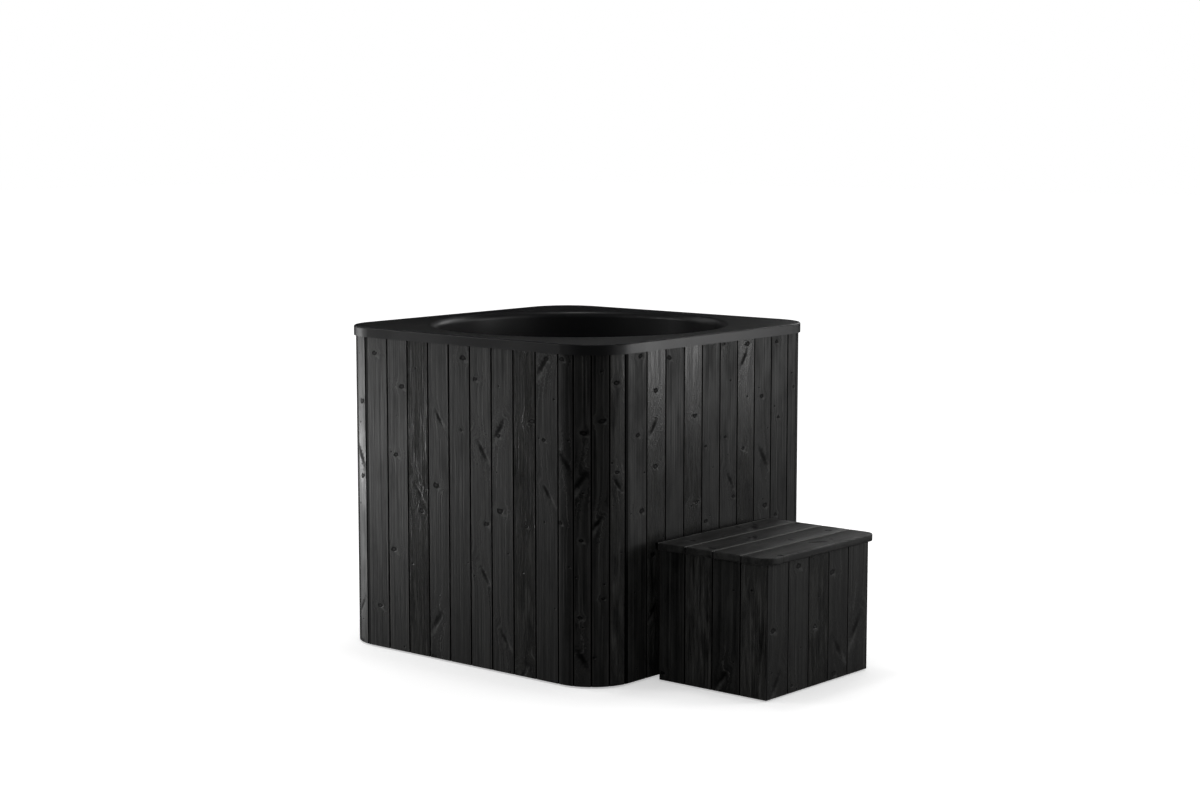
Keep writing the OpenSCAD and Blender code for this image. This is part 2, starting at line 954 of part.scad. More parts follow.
// The rubber sleeve on the lever, with chamfered edges and a pocket for the lever
module lever_grip() {
    color(RUBBER)
        translate([lever_l - lever_w / 2, ball_y, lever_z + lever_rise - grip_t - fit])
            difference() {
                intersection() {
                    linear_extrude(grip_h) {
                        circle(grip_r);
                        translate([-grip_l, -grip_r])
                            square([grip_l, 2 * grip_r]);
                    }
                    translate([-grip_l, 0, 0])
                        rotate([90, 0, 90])
                            linear_extrude(grip_l + grip_r)
                                grip_section();
                }
                translate([0, 0, grip_t])
                    linear_extrude(lever_t + 2 * fit) {
                        circle(lever_w / 2 + fit);
                        translate([-grip_l - cut, -lever_w / 2 - fit])
                            square([grip_l + cut, lever_w + 2 * fit]);
                    }
            }
}

// Section across the grip
module grip_section() {
    x = grip_r - grip_chamfer;
    z = grip_h - grip_chamfer;
    polygon([
        [-x, 0], [x, 0], [grip_r, grip_chamfer], [grip_r, z],
        [x, grip_h], [-x, grip_h], [-grip_r, z], [-grip_r, grip_chamfer]
    ]);
}

module lever_nut() {
    color(STEEL)
        translate([0, ball_y, lever_z + lever_t])
            difference() {
                wrench_prism(lever_nut_h, lever_nut_r, HEXAGON);
                translate([0, 0, -cut])
                    cylinder(h = lever_nut_h + 2 * cut, r = thread_r + fit / 2);
            }
}

// Step: mitred box of boards on posts and rails, with four tread boards

// The boards of one side of the box, face on y = 0, centred on x
module box_boards(length) {
    count = round(length / step_board_w);
    for (i = [0 : count - 1]) {
        x0 = i == 0 ? -length / 2 : (i - count / 2) * step_board_w;
        x1 = i == count - 1 ? length / 2 : (i + 1 - count / 2) * step_board_w;
        board_section(
            x0, x1, step_board_t, step_v_cut,
            i == 0 ? "mitre" : "groove", i == count - 1 ? "mitre" : "tongue"
        );
    }
}

module step_boards(length, turn, reach) {
    color(BOARD)
        translate([step_shift, step_cy, glide_t])
            rotate([0, 0, turn])
                translate([0, -reach, 0])
                    linear_extrude(box_top - glide_t)
                        box_boards(length - board_gap);
}

module step_post(x, y) {
    color(TIMBER)
        translate([
            step_shift + x * (inner_x - batten_w / 2) - batten_w / 2,
            step_cy + y * (inner_y - batten_w / 2) - batten_w / 2,
            glide_t
        ])
            cube([batten_w, batten_w, box_top - glide_t]);
}

// Four rails between the posts, their top at the given height
module step_rails(top) {
    span_x = 2 * (inner_x - batten_w);
    span_y = 2 * (inner_y - batten_w);
    color(TIMBER)
        translate([step_shift, step_cy, top - rail_h]) {
            for (y = [-inner_y, inner_y - batten_w])
                translate([-span_x / 2, y, 0])
                    cube([span_x, batten_w, rail_h]);
            for (x = [-inner_x, inner_x - batten_w])
                translate([x, -span_y / 2, 0])
                    cube([batten_w, span_y, rail_h]);
        }
}

module step_upper_rails() {
    difference() {
        step_rails(box_top);
        color(TIMBER)
            tread_screw_places()
                screw_hole(tread_screw_l);
    }
}

module step_bearer() {
    span_y = 2 * (inner_y - batten_w);
    color(TIMBER)
        translate([step_shift - batten_w / 2, step_cy - span_y / 2, box_top - rail_h])
            cube([batten_w, span_y, rail_h]);
}

// Plan of the whole tread, with round outer corners
module tread_plan() {
    translate([step_shift, 0])
        difference() {
            translate([-tread_x, tread_y0])
                square([2 * tread_x, tread_d]);
            for (x = [-1, 1])
                translate([x * (tread_x - tread_corner_r), tread_y0 + tread_corner_r])
                    difference() {
                        translate([x > 0 ? 0 : -tread_corner_r - cut, -tread_corner_r - cut])
                            square(tread_corner_r + cut);
                        circle(tread_corner_r);
                    }
        }
}

// Waste of the tread's eased edges, for one face; the run turns both corners
module tread_edges() {
    run_y = tread_d - tread_corner_r;
    run_x = 2 * (tread_x - tread_corner_r);
    translate([step_shift, 0, 0]) {
        translate([-run_x / 2, tread_y0, 0])
            edge_run(run_x, tread_edge_r);
        translate([tread_x, tread_y0 + tread_corner_r, 0])
            rotate([0, 0, 90])
                edge_run(run_y + cut, tread_edge_r);
        translate([-tread_x, tread_y0 + tread_d + cut, 0])
            rotate([0, 0, -90])
                edge_run(run_y + cut, tread_edge_r);
        for (x = [-1, 1])
            translate([x * run_x / 2, tread_y0 + tread_corner_r, 0])
                rotate([0, 0, x > 0 ? -90 : 180])
                    edge_corner(tread_corner_r, tread_edge_r);
    }
}

// Front edge of a tread board, counted from the outer one; the last reaches the back
function tread_start(i) = tread_y0 + i * (tread_w + tread_gap);
function tread_end(i) = i == TREAD_BOARDS - 1 ? step_back : tread_start(i) + tread_w;

module tread_board(i) {
    color(BOARD)
        difference() {
            translate([0, 0, box_top])
                linear_extrude(tread_t)
                    intersection() {
                        tread_plan();
                        translate([step_shift - tread_x, tread_start(i)])
                            square([2 * tread_x, tread_end(i) - tread_start(i)]);
                    }
            translate([0, 0, step_h])
                tread_edges();
            translate([0, 0, box_top])
                mirror([0, 0, 1])
                    tread_edges();
            tread_screw_places()
                screw_hole(tread_screw_l);
        }
}

// Two screws up into each tread board, through the rails at the two ends
module tread_screw_places() {
    rail_y0 = step_cy - inner_y + batten_w;
    rail_y1 = step_cy + inner_y - batten_w;
    for (i = [0 : TREAD_BOARDS - 1], x = [-1, 1])
        translate([
            step_shift + x * (inner_x - batten_w / 2),
            (max(tread_start(i), rail_y0) + min(tread_end(i), rail_y1)) / 2,
            box_top - rail_h
        ])
            children();
}

module tread_screws() {
    color(STEEL)
        tread_screw_places()
            translate([0, 0, screw_sink])
                screw(tread_screw_l - screw_sink);
}

module step_glides() {
    color(RUBBER)
        for (x = [-1, 1], y = [-1, 1])
            translate([
                step_shift + x * (inner_x - batten_w / 2),
                step_cy + y * (inner_y - batten_w / 2), 0
            ])
                cylinder(h = glide_t, r = glide_r);
}

base_runner(-runner_x);  // base_runner_left
base_runner(0);  // base_runner_middle
base_runner(runner_x);  // base_runner_right
floor_panel();
notched_ring(lower_ring_z);  // lower_ring
notched_ring(middle_ring_z);  // middle_ring
upper_ring();
corner_post(0);  // corner_post_front_left
corner_post(90);  // corner_post_front_right
corner_post(180);  // corner_post_rear_right
corner_post(270);  // corner_post_rear_left
frame_screws();
base_insulation();
wall_insulation();
tub_shell();
cladding_side(0);  // cladding_front
cladding_side(90);  // cladding_right
cladding_rear();
cladding_side(270);  // cladding_left
corner_slats(0);  // corner_slats_front_left
corner_slats(90);  // corner_slats_front_right
corner_slats(180);  // corner_slats_rear_right
corner_slats(270);  // corner_slats_rear_left
drain_flange();
drain_grate();
drain_seal();
drain_nut();
drain_elbow();
drain_pipe();
wall_collar();
valve_body();
valve_seats();
valve_end();
packing_nut();
valve_ball();
valve_stem();
valve_lever();
lever_grip();
lever_nut();
step_boards(step_w, 0, step_d / 2);  // step_boards_front
step_boards(step_d, 90, step_w / 2);  // step_boards_right
step_boards(step_w, 180, step_d / 2);  // step_boards_rear
step_boards(step_d, 270, step_w / 2);  // step_boards_left
step_post(-1, -1);  // step_post_front_left
step_post(1, -1);  // step_post_front_right
step_post(1, 1);  // step_post_rear_right
step_post(-1, 1);  // step_post_rear_left
step_upper_rails();
step_rails(low_rail_z + rail_h);  // step_lower_rails
step_bearer();
tread_board(0);  // tread_board_1
tread_board(1);  // tread_board_2
tread_board(2);  // tread_board_3
tread_board(3);  // tread_board_4
tread_screws();
step_glides();
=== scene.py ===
"""Looks of a square cold plunge tub with a box step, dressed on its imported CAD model.

Everything is in metres in the CAD frame: the origin is on the floor under the tub's centre,
+Z is up, the step stands on the -Y side and the drain valve on the +Y side.
"""

import json
import logging
import math
from dataclasses import dataclass, field
from enum import Enum
from typing import Callable

import bpy
from mathutils import Euler, Matrix, Vector

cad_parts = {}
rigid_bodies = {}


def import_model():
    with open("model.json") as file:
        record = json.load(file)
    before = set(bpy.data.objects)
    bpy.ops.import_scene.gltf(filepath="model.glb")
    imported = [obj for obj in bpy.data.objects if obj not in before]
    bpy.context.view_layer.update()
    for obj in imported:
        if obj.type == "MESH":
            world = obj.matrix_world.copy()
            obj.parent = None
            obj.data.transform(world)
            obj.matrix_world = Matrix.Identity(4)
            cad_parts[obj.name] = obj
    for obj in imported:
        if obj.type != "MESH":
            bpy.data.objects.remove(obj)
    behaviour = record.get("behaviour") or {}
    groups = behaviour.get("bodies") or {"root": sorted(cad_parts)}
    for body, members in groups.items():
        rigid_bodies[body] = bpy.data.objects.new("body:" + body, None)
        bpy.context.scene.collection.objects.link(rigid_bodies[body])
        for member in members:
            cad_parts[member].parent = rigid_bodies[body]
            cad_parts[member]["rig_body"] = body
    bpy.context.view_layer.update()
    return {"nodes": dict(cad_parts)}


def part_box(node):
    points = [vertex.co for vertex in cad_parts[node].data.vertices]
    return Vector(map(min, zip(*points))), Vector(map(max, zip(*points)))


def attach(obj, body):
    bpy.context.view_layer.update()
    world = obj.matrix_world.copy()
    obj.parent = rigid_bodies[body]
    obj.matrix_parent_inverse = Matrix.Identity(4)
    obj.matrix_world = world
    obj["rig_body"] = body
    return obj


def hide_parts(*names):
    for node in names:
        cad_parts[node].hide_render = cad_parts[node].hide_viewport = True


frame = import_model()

MM = 0.001

MATH, VECTOR, MAPPING = "ShaderNodeMath", "ShaderNodeVectorMath", "ShaderNodeMapping"
NOISE, CHANCE = "ShaderNodeTexNoise", "ShaderNodeTexWhiteNoise"
MIX, RANGE, BUMP = "ShaderNodeMix", "ShaderNodeMapRange", "ShaderNodeBump"
SPLIT, JOIN = "ShaderNodeSeparateXYZ", "ShaderNodeCombineXYZ"
COORDS, RAYS = "ShaderNodeTexCoord", "ShaderNodeLightPath"
PRINCIPLED, DIFFUSE = "ShaderNodeBsdfPrincipled", "ShaderNodeBsdfDiffuse"

# The values between which nearly all of a noise lies
NOISE_SPAN = (0.3, 0.7)
# Octaves of a noise: one for an even pattern, more for one with detail in it
EVEN, ROLLING, DETAILED = 1.0, 2.0, 3.0

Triple = tuple[float, float, float]
Rgba = tuple[float, float, float, float]
Node = bpy.types.Node
Tree = bpy.types.NodeTree
# What feeds a shader's socket: a node by its first output, a socket, or a plain value
Feed = Node | bpy.types.NodeSocket | float | Triple | Rgba

logging.basicConfig(level=logging.INFO, format="%(message)s")
log = logging.getLogger("plunge_tub")


def linear(code: str) -> Rgba:
    """Turns an sRGB hex colour into the linear RGBA that shaders take.

    Args:
        code: The colour as "#rrggbb".

    Returns:
        Red, green, blue and an alpha of 1.
    """
    def channel(text: str) -> float:
        """One channel, from two hex digits to linear light."""
        value = int(text, 16) / 255
        return value / 12.92 if value <= 0.04045 else ((value + 0.055) / 1.055) ** 2.4

    return channel(code[1:3]), channel(code[3:5]), channel(code[5:7]), 1.0


def add_node(tree: Tree, kind: str, links: dict[str | int, Feed] | None = None, **settings: object) -> Node:
    """Adds a node with its settings, its input values and its links.

    Args:
        tree: The node tree that gets the node.
        kind: The node's type, such as "ShaderNodeMath".
        links: Input name or number to a value, to the node whose first output feeds it, or to a socket.
        settings: Properties of the node, such as operation="ADD".

    Returns:
        The new node.
    """
    node = tree.nodes.new(kind)
    for name, value in settings.items():
        setattr(node, name, value)
    for key, value in (links or {}).items():
        if isinstance(value, bpy.types.Node):
            value = value.outputs[0]
        if isinstance(value, bpy.types.NodeSocket):
            tree.links.new(value, node.inputs[key])
        else:
            node.inputs[key].default_value = value
    return node


def new_material(name: str) -> tuple[bpy.types.Material, Tree, Node]:
    """Starts a material with an empty tree and its output.

    Args:
        name: The material's name.

    Returns:
        The material, its node tree and its output node.
    """
    material = bpy.data.materials.new(name)
    material.use_nodes = True
    tree = material.node_tree
    tree.nodes.clear()
    return material, tree, add_node(tree, "ShaderNodeOutputMaterial")


class Side(Enum):
    """The four flat sides, in turns of 90 degrees from the front."""

    FRONT = "front"
    RIGHT = "right"
    REAR = "rear"
    LEFT = "left"


class Corner(Enum):
    """The four corners, in the same order."""

    FRONT_LEFT = "front_left"
    FRONT_RIGHT = "front_right"
    REAR_RIGHT = "rear_right"
    REAR_LEFT = "rear_left"


@dataclass(frozen=True)
class BoardLayout:
    """Where the boards of one piece lie, so that each gets its own grain.

    The layout's own X runs across the boards, its Z along them and its Y into them. Round a
    corner, X runs round the arc instead.

    Args:
        turn: Turn of the layout against the part's axes.
        centre: The point that the layout's own axes start from.
        pitch: Cover width of a board.
        first: Place of one joint along X.
        least: The lowest board number, for a first board that is a little wider.
        most: The highest board number, for a last board that is a little wider.
        arc: Radius of the corner that the boards go round, or 0 for flat boards.
        seed: A number that sets this piece's boards apart.
    """

    turn: Euler = field(default_factory=Euler)
    centre: Triple = (0.0, 0.0, 0.0)
    pitch: float = 0.087
    first: float = 0.0
    least: float = -50.0
    most: float = 50.0
    arc: float = 0.0
    seed: float = 0.0

    def place(self, tree: Tree) -> tuple[Feed, Feed, Feed]:
        """Adds the nodes that turn a point of the object into a place on the boards.

        Args:
            tree: The material's node tree.

        Returns:
            The place across, along and into the boards.
        """
        start = self.turn.to_matrix() @ Vector(self.centre)
        point = add_node(tree, COORDS).outputs["Object"]
        local = add_node(
            tree, MAPPING, {"Vector": point, "Rotation": tuple(self.turn), "Location": tuple(-start)}
        )
        axes = add_node(tree, SPLIT, {0: local})
        if not self.arc:
            return axes, axes.outputs[2], axes.outputs[1]
        sweep = add_node(tree, "ShaderNodeTexGradient", {0: local}, gradient_type="RADIAL").outputs["Fac"]
        across = add_node(tree, MATH, {0: sweep, 1: math.tau * self.arc}, operation="MULTIPLY")
        reach = add_node(tree, VECTOR, {0: local, 1: (1.0, 1.0, 0.0)}, operation="MULTIPLY")
        depth = add_node(tree, VECTOR, {0: reach}, operation="LENGTH").outputs["Value"]
        return across, axes.outputs[2], depth


@dataclass(frozen=True)
class KnotLayer:
    """One kind of knot, scattered along every board with no more than one to a stretch.

    Args:
        stretch: Length of board that holds one knot at most.
        chance: Share of the stretches that hold one.
        half_w: Half width of the largest.
        half_l: Half length of the largest.
        layer: A number that sets the kinds apart.
        edge: How near to a joint the knots' centres may lie, as a share of the board's width.
        slant: How far a knot leans sideways for each unit along the board.
        soft: Where its dark starts to fade, as a share of its radius.
        heart: How much paler its middle is than its dark ring.
        glint: Centre of the pale glint beside it, a painted highlight, in its own half widths and half lengths.
        ragged: How fine the raggedness of its outline is, in waves to the metre.
        smallest: Size of the smallest against the largest.
        middle: The part of its stretch that a knot's centre may lie in, as shares.
        other_way: Share of the knots that lean the other way.
        uneven: The least and most by which the raggedness scales the distance from its middle.
        fade_end: Where its dark has faded out, as a share of its radius.
        heart_r: Where the heart ends and the dark ring is full, as shares of its radius.
        glint_r: Radius of the painted glint, as a share of the knot's own.
        calm: Share of the grain's bend that is left at the knot's edge.
    """

    stretch: float
    chance: float
    half_w: float
    half_l: float
    layer: float
    edge: float = 0.15
    slant: float = 0.0
    soft: float = 0.7
    heart: float = 0.0
    glint: Triple = (0.9, -1.2, 0.0)
    ragged: float = 110.0
    smallest: float = 0.5
    middle: tuple[float, float] = (0.3, 0.7)
    other_way: float = 0.3
    uneven: tuple[float, float] = (0.75, 1.3)
    fade_end: float = 1.15
    heart_r: tuple[float, float] = (0.2, 0.6)
    glint_r: float = 1.1
    calm: float = 0.83

    def scatter(self, tree: Tree, across: Feed, pitch: Feed, along: Feed, seed: Feed) -> tuple[Node, Node, Node]:
        """Adds the nodes for this kind of knot.

        Args:
            tree: The group's node tree.
            across: Place across the board, 0 to 1.
            pitch: Width of a board.
            along: Place along the board.
            seed: The board's own number.

        Returns:
            The knots' dark, their painted glints, and how far they pull the grain aside.
        """
        cell = add_node(tree, MATH, {0: along, 1: self.stretch}, operation="DIVIDE")
        index = add_node(tree, MATH, {0: cell}, operation="FLOOR")
        share = add_node(tree, MATH, {0: cell, 1: index}, operation="SUBTRACT")
        key = add_node(tree, JOIN, {0: seed, 1: index, 2: self.layer})
        dice = add_node(tree, CHANCE, {"Vector": key}, noise_dimensions="3D")
        rolls = add_node(tree, SPLIT, {0: dice.outputs["Color"]}).outputs
        spot = add_node(tree, RANGE, {"Value": rolls[0], "To Min": self.edge, "To Max": 1.0 - self.edge})
        level = add_node(tree, RANGE, {"Value": rolls[1], "To Min": self.middle[0], "To Max": self.middle[1]})
        size = add_node(
            tree, RANGE, {"Value": rolls[2], "From Min": 1.0 - self.chance, "To Min": self.smallest, "To Max": 1.0}
        )
        present = add_node(tree, MATH, {0: rolls[2], 1: 1.0 - self.chance}, operation="GREATER_THAN")

        side = add_node(tree, MATH, {0: across, 1: spot}, operation="SUBTRACT")
        side = add_node(tree, MATH, {0: side, 1: pitch}, operation="MULTIPLY")
        rise = add_node(tree, MATH, {0: share, 1: level}, operation="SUBTRACT")
        rise = add_node(tree, MATH, {0: rise, 1: self.stretch}, operation="MULTIPLY")
        lean = add_node(tree, MATH, {0: dice.outputs["Value"], 1: self.other_way}, operation="SUBTRACT")
        lean = add_node(tree, MATH, {0: lean}, operation="SIGN")
        lean = add_node(tree, MATH, {0: lean, 1: self.slant}, operation="MULTIPLY")
        leaned = add_node(tree, MATH, {0: rise, 1: lean, 2: side}, operation="MULTIPLY_ADD")
        oval = add_node(tree, JOIN, {0: leaned, 1: rise})
        oval = add_node(tree, VECTOR, {0: oval, 1: (1 / self.half_w, 1 / self.half_l, 0.0)}, operation="MULTIPLY")
        shrink = add_node(tree, MATH, {0: 1.0, 1: size}, operation="DIVIDE")
        oval = add_node(tree, VECTOR, {0: oval, 3: shrink}, operation="SCALE")
        ragged = add_node(tree, JOIN, {0: side, 1: rise, 2: seed})
        ragged = add_node(tree, NOISE, {"Vector": ragged, "Scale": self.ragged, "Detail": EVEN})
        ragged = add_node(
            tree, RANGE,
            {"Value": ragged, "From Min": NOISE_SPAN[0], "From Max": NOISE_SPAN[1],
             "To Min": self.uneven[0], "To Max": self.uneven[1]},
        )
        oval = add_node(tree, VECTOR, {0: oval, 3: ragged}, operation="SCALE")
        radius = add_node(tree, VECTOR, {0: oval}, operation="LENGTH").outputs["Value"]

        dark = add_node(
            tree, RANGE,
            {"Value": radius, "From Min": self.soft, "From Max": self.fade_end, "To Min": 1.0, "To Max": 0.0},
            interpolation_type="SMOOTHSTEP",
        )
        heart = add_node(
            tree, RANGE,
            {"Value": radius, "From Min": self.heart_r[0], "From Max": self.heart_r[1], "To Min": 1.0 - self.heart},
        )
        dark = add_node(tree, MATH, {0: dark, 1: heart}, operation="MULTIPLY")
        # Painted highlight: a pale glint beside the knot, on the side where light would catch it
        apart = add_node(tree, VECTOR, {0: oval, 1: self.glint}, operation="DISTANCE").outputs["Value"]
        glint = add_node(
            tree, RANGE, {"Value": apart, "From Max": self.glint_r, "To Min": 1.0, "To Max": 0.0},
            interpolation_type="SMOOTHSTEP",
        )
        fade = add_node(tree, MATH, {0: radius, 1: radius}, operation="MULTIPLY")
        fade = add_node(tree, MATH, {0: self.calm, 1: fade}, operation="POWER")
        pull = add_node(tree, MATH, {0: leaned, 1: fade}, operation="MULTIPLY")
        return tuple(
            add_node(tree, MATH, {0: value, 1: present}, operation="MULTIPLY") for value in (dark, glint, pull)
        )


@dataclass
class StainedPine:
    """Planed knotty pine, brushed with a thin near-black stain.

    The stain lets the grain and knots show as changes of tone and sheen, not of hue. Streaks are
    drawn about twice as coarse as real growth rings, so that they show from a few metres.

    Args:
        name: Name of the material and how it was made.
        dark: Colour of the late wood, where the stain sits deepest.
        light: Colour of the early wood streaks.
        pale: Colour where the stain is thinnest, on the eased edges and in pore dashes, and of the painted
            highlights on those edges and beside the knots.
        knot: Colour of a knot.
        dull: Roughness of the dullest streaks.
        shiny: Roughness of the shiniest streaks.
        matt: Roughness of knots and of pooled stain.
        ior: Index of refraction.
        mirror: Level of its mirror reflection.
        broad: Width and length of the broad streaks.
        fine: Width and length of the fine streaks.
        figure: Width and length of the flecks on a flamed board.
        mottle: Width and length of the blotches of sheen.
        rings: How far into the wood a streak goes, against its width.
        crisp: How strong the fine detail within a streak is, 0 to 1.
        fine_share: Share of the fine streaks in a plain board's tone.
        fleck_share: Share of the flecks in a flamed board's tone.
        blotch_share: Share of the blotches in every board's tone.
        sheen_share: Share of the fine streaks in a plain board's sheen.
        tones: The noise of the darkest tone and that of the lightest.
        sheens: The noise of the dullest sheen and that of the shiniest.
        flamed: Least roll of a board, 0 to 1, that makes it a flamed one.
        half_flamed: Rolls over which a board goes from plain to fully flamed.
        glow: How much paler a flamed board is: a lighter tone that also paints in part of its sheen.
        polish: How much less rough a flamed board is.
        spread: How far one board's tone may lie from the next one's.
        relief: Height of the grain against the height that the cladding has.
        heights: Millimetres that broad streaks, fine streaks, flecks and a flamed board's flecks stand up.
        sunk: Millimetres that a knot is sunk.
        groove: Half width of the V cut, where stain pools; below zero for boards without one.
        pool_edge: Half width of the step from pooled stain to bare wood.
        worn_and_sheen: Width of the paler stripe beside it, worn stain with a painted highlight of the edge.
        wear_and_sheen: How pale the stripe is, 0 to 1.
        wear_and_sheen_from: Depth on the board from which its edges get the stripe.
        pores: How pale the thin dashes are where the stain missed, 0 to 1.
        dashes: The noise at which a pale dash starts and at which it is full.
        dash_lift: What a flamed board's flecks get added for it, as they span less than its streaks.
        glints: How bright the painted highlight beside a knot is, 0 to 1.
        slide: Longest way that one board's grain is moved along it.
        step_aside: How far the grain moves across from one board to the next.
        knots: Round knots.
        pins: Pin knots.
        spikes: Knots that were sawn lengthwise, long and slanted.
        group: The node group that all its materials share, once it is built.
    """

    name: str = "black_stained_pine"
    dark: str = "#0b0b0b"
    light: str = "#2c2c2b"
    pale: str = "#454544"
    knot: str = "#030303"
    dull: float = 0.62
    shiny: float = 0.42
    matt: float = 0.85
    ior: float = 1.5
    mirror: float = 0.25
    broad: tuple[float, float] = (12 * MM, 0.8)
    fine: tuple[float, float] = (4.5 * MM, 0.35)
    figure: tuple[float, float] = (8 * MM, 0.09)
    mottle: tuple[float, float] = (55 * MM, 0.17)
    rings: float = 2.0
    crisp: float = 0.6
    fine_share: float = 0.4
    fleck_share: float = 0.6
    blotch_share: float = 0.3
    sheen_share: float = 0.5
    tones: tuple[float, float] = (0.4, 0.6)
    sheens: tuple[float, float] = (0.41, 0.59)
    flamed: float = 0.66
    half_flamed: float = 0.1
    glow: float = 0.6
    polish: float = 0.24
    spread: float = 0.4
    relief: float = 1.0
    heights: tuple[float, ...] = (0.5, 0.45, 0.3, 0.5)
    sunk: float = 0.8
    groove: float = 3 * MM
    pool_edge: float = 0.5 * MM
    worn_and_sheen: float = 3 * MM
    wear_and_sheen: float = 0.4
    wear_and_sheen_from: float = -10.0
    pores: float = 0.6
    dashes: tuple[float, float] = (0.6, 0.72)
    dash_lift: float = 0.07
    glints: float = 0.65
    slide: float = 9.0
    step_aside: float = 0.37
    knots: KnotLayer = KnotLayer(0.26, 0.7, 14 * MM, 9 * MM, 1.0, heart=0.4)
    pins: KnotLayer = KnotLayer(0.12, 0.35, 4.5 * MM, 3.5 * MM, 2.0, edge=0.08)
    spikes: KnotLayer = KnotLayer(
        0.5, 0.5, 18 * MM, 50 * MM, 3.0, edge=0.33, slant=0.62, soft=0.15, glint=(0.6, -0.9, 0.0)
    )
    group: Tree | None = None

    def material(self, label: str, layout: BoardLayout) -> bpy.types.Material:
        """Makes the finish for one piece.

        Args:
            label: Ending of the material's name.
            layout: Where the piece's boards lie.

        Returns:
            The material.
        """
        self.group = self.group or self.grain()
        material, tree, output = new_material(f"{self.name}_{label}")
        across, along, depth = layout.place(tree)
        count = add_node(
            tree, MATH, {0: across, 1: 1 / layout.pitch, 2: -layout.first / layout.pitch}, operation="MULTIPLY_ADD"
        )
        number = add_node(tree, MATH, {0: count}, operation="FLOOR")
        number = add_node(tree, "ShaderNodeClamp", {"Value": number, "Min": layout.least, "Max": layout.most})
        share = add_node(tree, MATH, {0: count, 1: number}, operation="SUBTRACT")
        seed = add_node(tree, MATH, {0: number, 1: layout.seed}, operation="ADD")
        grain = add_node(
            tree, "ShaderNodeGroup",
            {"Across": share, "Pitch": layout.pitch, "Along": along, "Depth": depth, "Seed": seed},
            node_tree=self.group,
        )
        bump = add_node(tree, BUMP, {"Height": grain.outputs["Height"], "Distance": MM, "Strength": 1.0})
        shader = add_node(
            tree, PRINCIPLED,
            {"Base Color": grain.outputs["Colour"], "Roughness": grain.outputs["Roughness"], "Normal": bump,
             "IOR": self.ior, "Specular IOR Level": self.mirror},
        )
        tree.links.new(shader.outputs[0], output.inputs[0])
        return material

    def grain(self) -> Tree:
        """Builds the node group of one board's grain, which all this finish's materials share.

        Returns:
            The group, with colour, roughness and height in millimetres as outputs.
        """
        tree = bpy.data.node_groups.new(f"{self.name}_grain", "ShaderNodeTree")
        for name in ("Across", "Pitch", "Along", "Depth", "Seed"):
            tree.interface.new_socket(name, in_out="INPUT", socket_type="NodeSocketFloat")
        tree.interface.new_socket("Colour", in_out="OUTPUT", socket_type="NodeSocketColor")
        for name in ("Roughness", "Height"):
            tree.interface.new_socket(name, in_out="OUTPUT", socket_type="NodeSocketFloat")
        across, pitch, along, depth, seed = list(tree.nodes.new("NodeGroupInput").outputs)[:5]

        board = add_node(tree, CHANCE, {"W": seed}, noise_dimensions="1D")
        rolls = add_node(tree, SPLIT, {0: board.outputs["Color"]}).outputs
        flame = add_node(
            tree, RANGE, {"Value": rolls[2], "From Min": self.flamed, "From Max": self.flamed + self.half_flamed}
        )
        along = add_node(tree, MATH, {0: board.outputs["Value"], 1: self.slide, 2: along}, operation="MULTIPLY_ADD")
        flat = add_node(tree, MATH, {0: across, 1: pitch}, operation="MULTIPLY")
        knot, glint, bent = self.marks(tree, across, pitch, along, seed, flat)
        point = add_node(tree, JOIN, {0: bent, 1: depth, 2: along})
        streaks = []
        for width, length in (self.broad, self.fine, self.figure, self.mottle):
            scales = (1 / width, 1 / (self.rings * width), 1 / length)
            scaled = add_node(tree, VECTOR, {0: point, 1: scales}, operation="MULTIPLY")
            streaks.append(add_node(
                tree, NOISE, {"Vector": scaled, "Scale": 1.0, "Detail": DETAILED, "Roughness": self.crisp}
            ))
        broad, fine, fleck, blotch = streaks
        fleck = add_node(tree, MIX, {0: self.fleck_share, 2: fine, 3: fleck})

        wood = self.tone(tree, broad, fine, fleck, blotch, flame, rolls[1])
        inset = add_node(tree, MATH, {0: pitch, 1: flat}, operation="SUBTRACT")
        inset = add_node(tree, MATH, {0: flat, 1: inset}, operation="MINIMUM")
        worn_and_sheen = self.thin(tree, inset, depth, glint, fine, fleck, flame)
        # Pale places: worn stain and pore dashes, with painted highlights on the edges and beside the knots
        wood = add_node(tree, MIX, {0: worn_and_sheen, 6: wood, 7: linear(self.pale)}, data_type="RGBA").outputs[2]
        pooled = add_node(
            tree, RANGE,
            {"Value": inset, "From Min": self.groove - self.pool_edge, "From Max": self.groove + self.pool_edge,
             "To Min": 1.0, "To Max": 0.0},
        )
        stained = add_node(tree, MATH, {0: knot, 1: pooled}, operation="MAXIMUM")
        wood = add_node(tree, MIX, {0: stained, 6: wood, 7: linear(self.knot)}, data_type="RGBA").outputs[2]

        sheen = add_node(tree, MIX, {0: self.sheen_share, 2: blotch, 3: fine})
        sheen = add_node(tree, MIX, {0: flame, 2: sheen, 3: fleck})
        rough = add_node(
            tree, RANGE,
            {"Value": sheen, "From Min": self.sheens[0], "From Max": self.sheens[1],
             "To Min": self.dull, "To Max": self.shiny},
        )
        polish = add_node(tree, MATH, {0: flame, 1: -self.polish}, operation="MULTIPLY")
        rough = add_node(tree, MATH, {0: rough, 1: polish}, operation="ADD")
        rough = add_node(tree, MIX, {0: stained, 2: rough, 3: self.matt})

        height = add_node(tree, MATH, {0: knot, 1: -self.sunk}, operation="MULTIPLY")
        flecked = add_node(tree, MATH, {0: flame, 1: fleck}, operation="MULTIPLY")
        for value, tall in zip((broad, fine, fleck, flecked), self.heights):
            height = add_node(tree, MATH, {0: value, 1: tall * self.relief, 2: height}, operation="MULTIPLY_ADD")
        output = tree.nodes.new("NodeGroupOutput")
        for name, value in (("Colour", wood), ("Roughness", rough.outputs[0]), ("Height", height.outputs[0])):
            tree.links.new(value, output.inputs[name])
        return tree

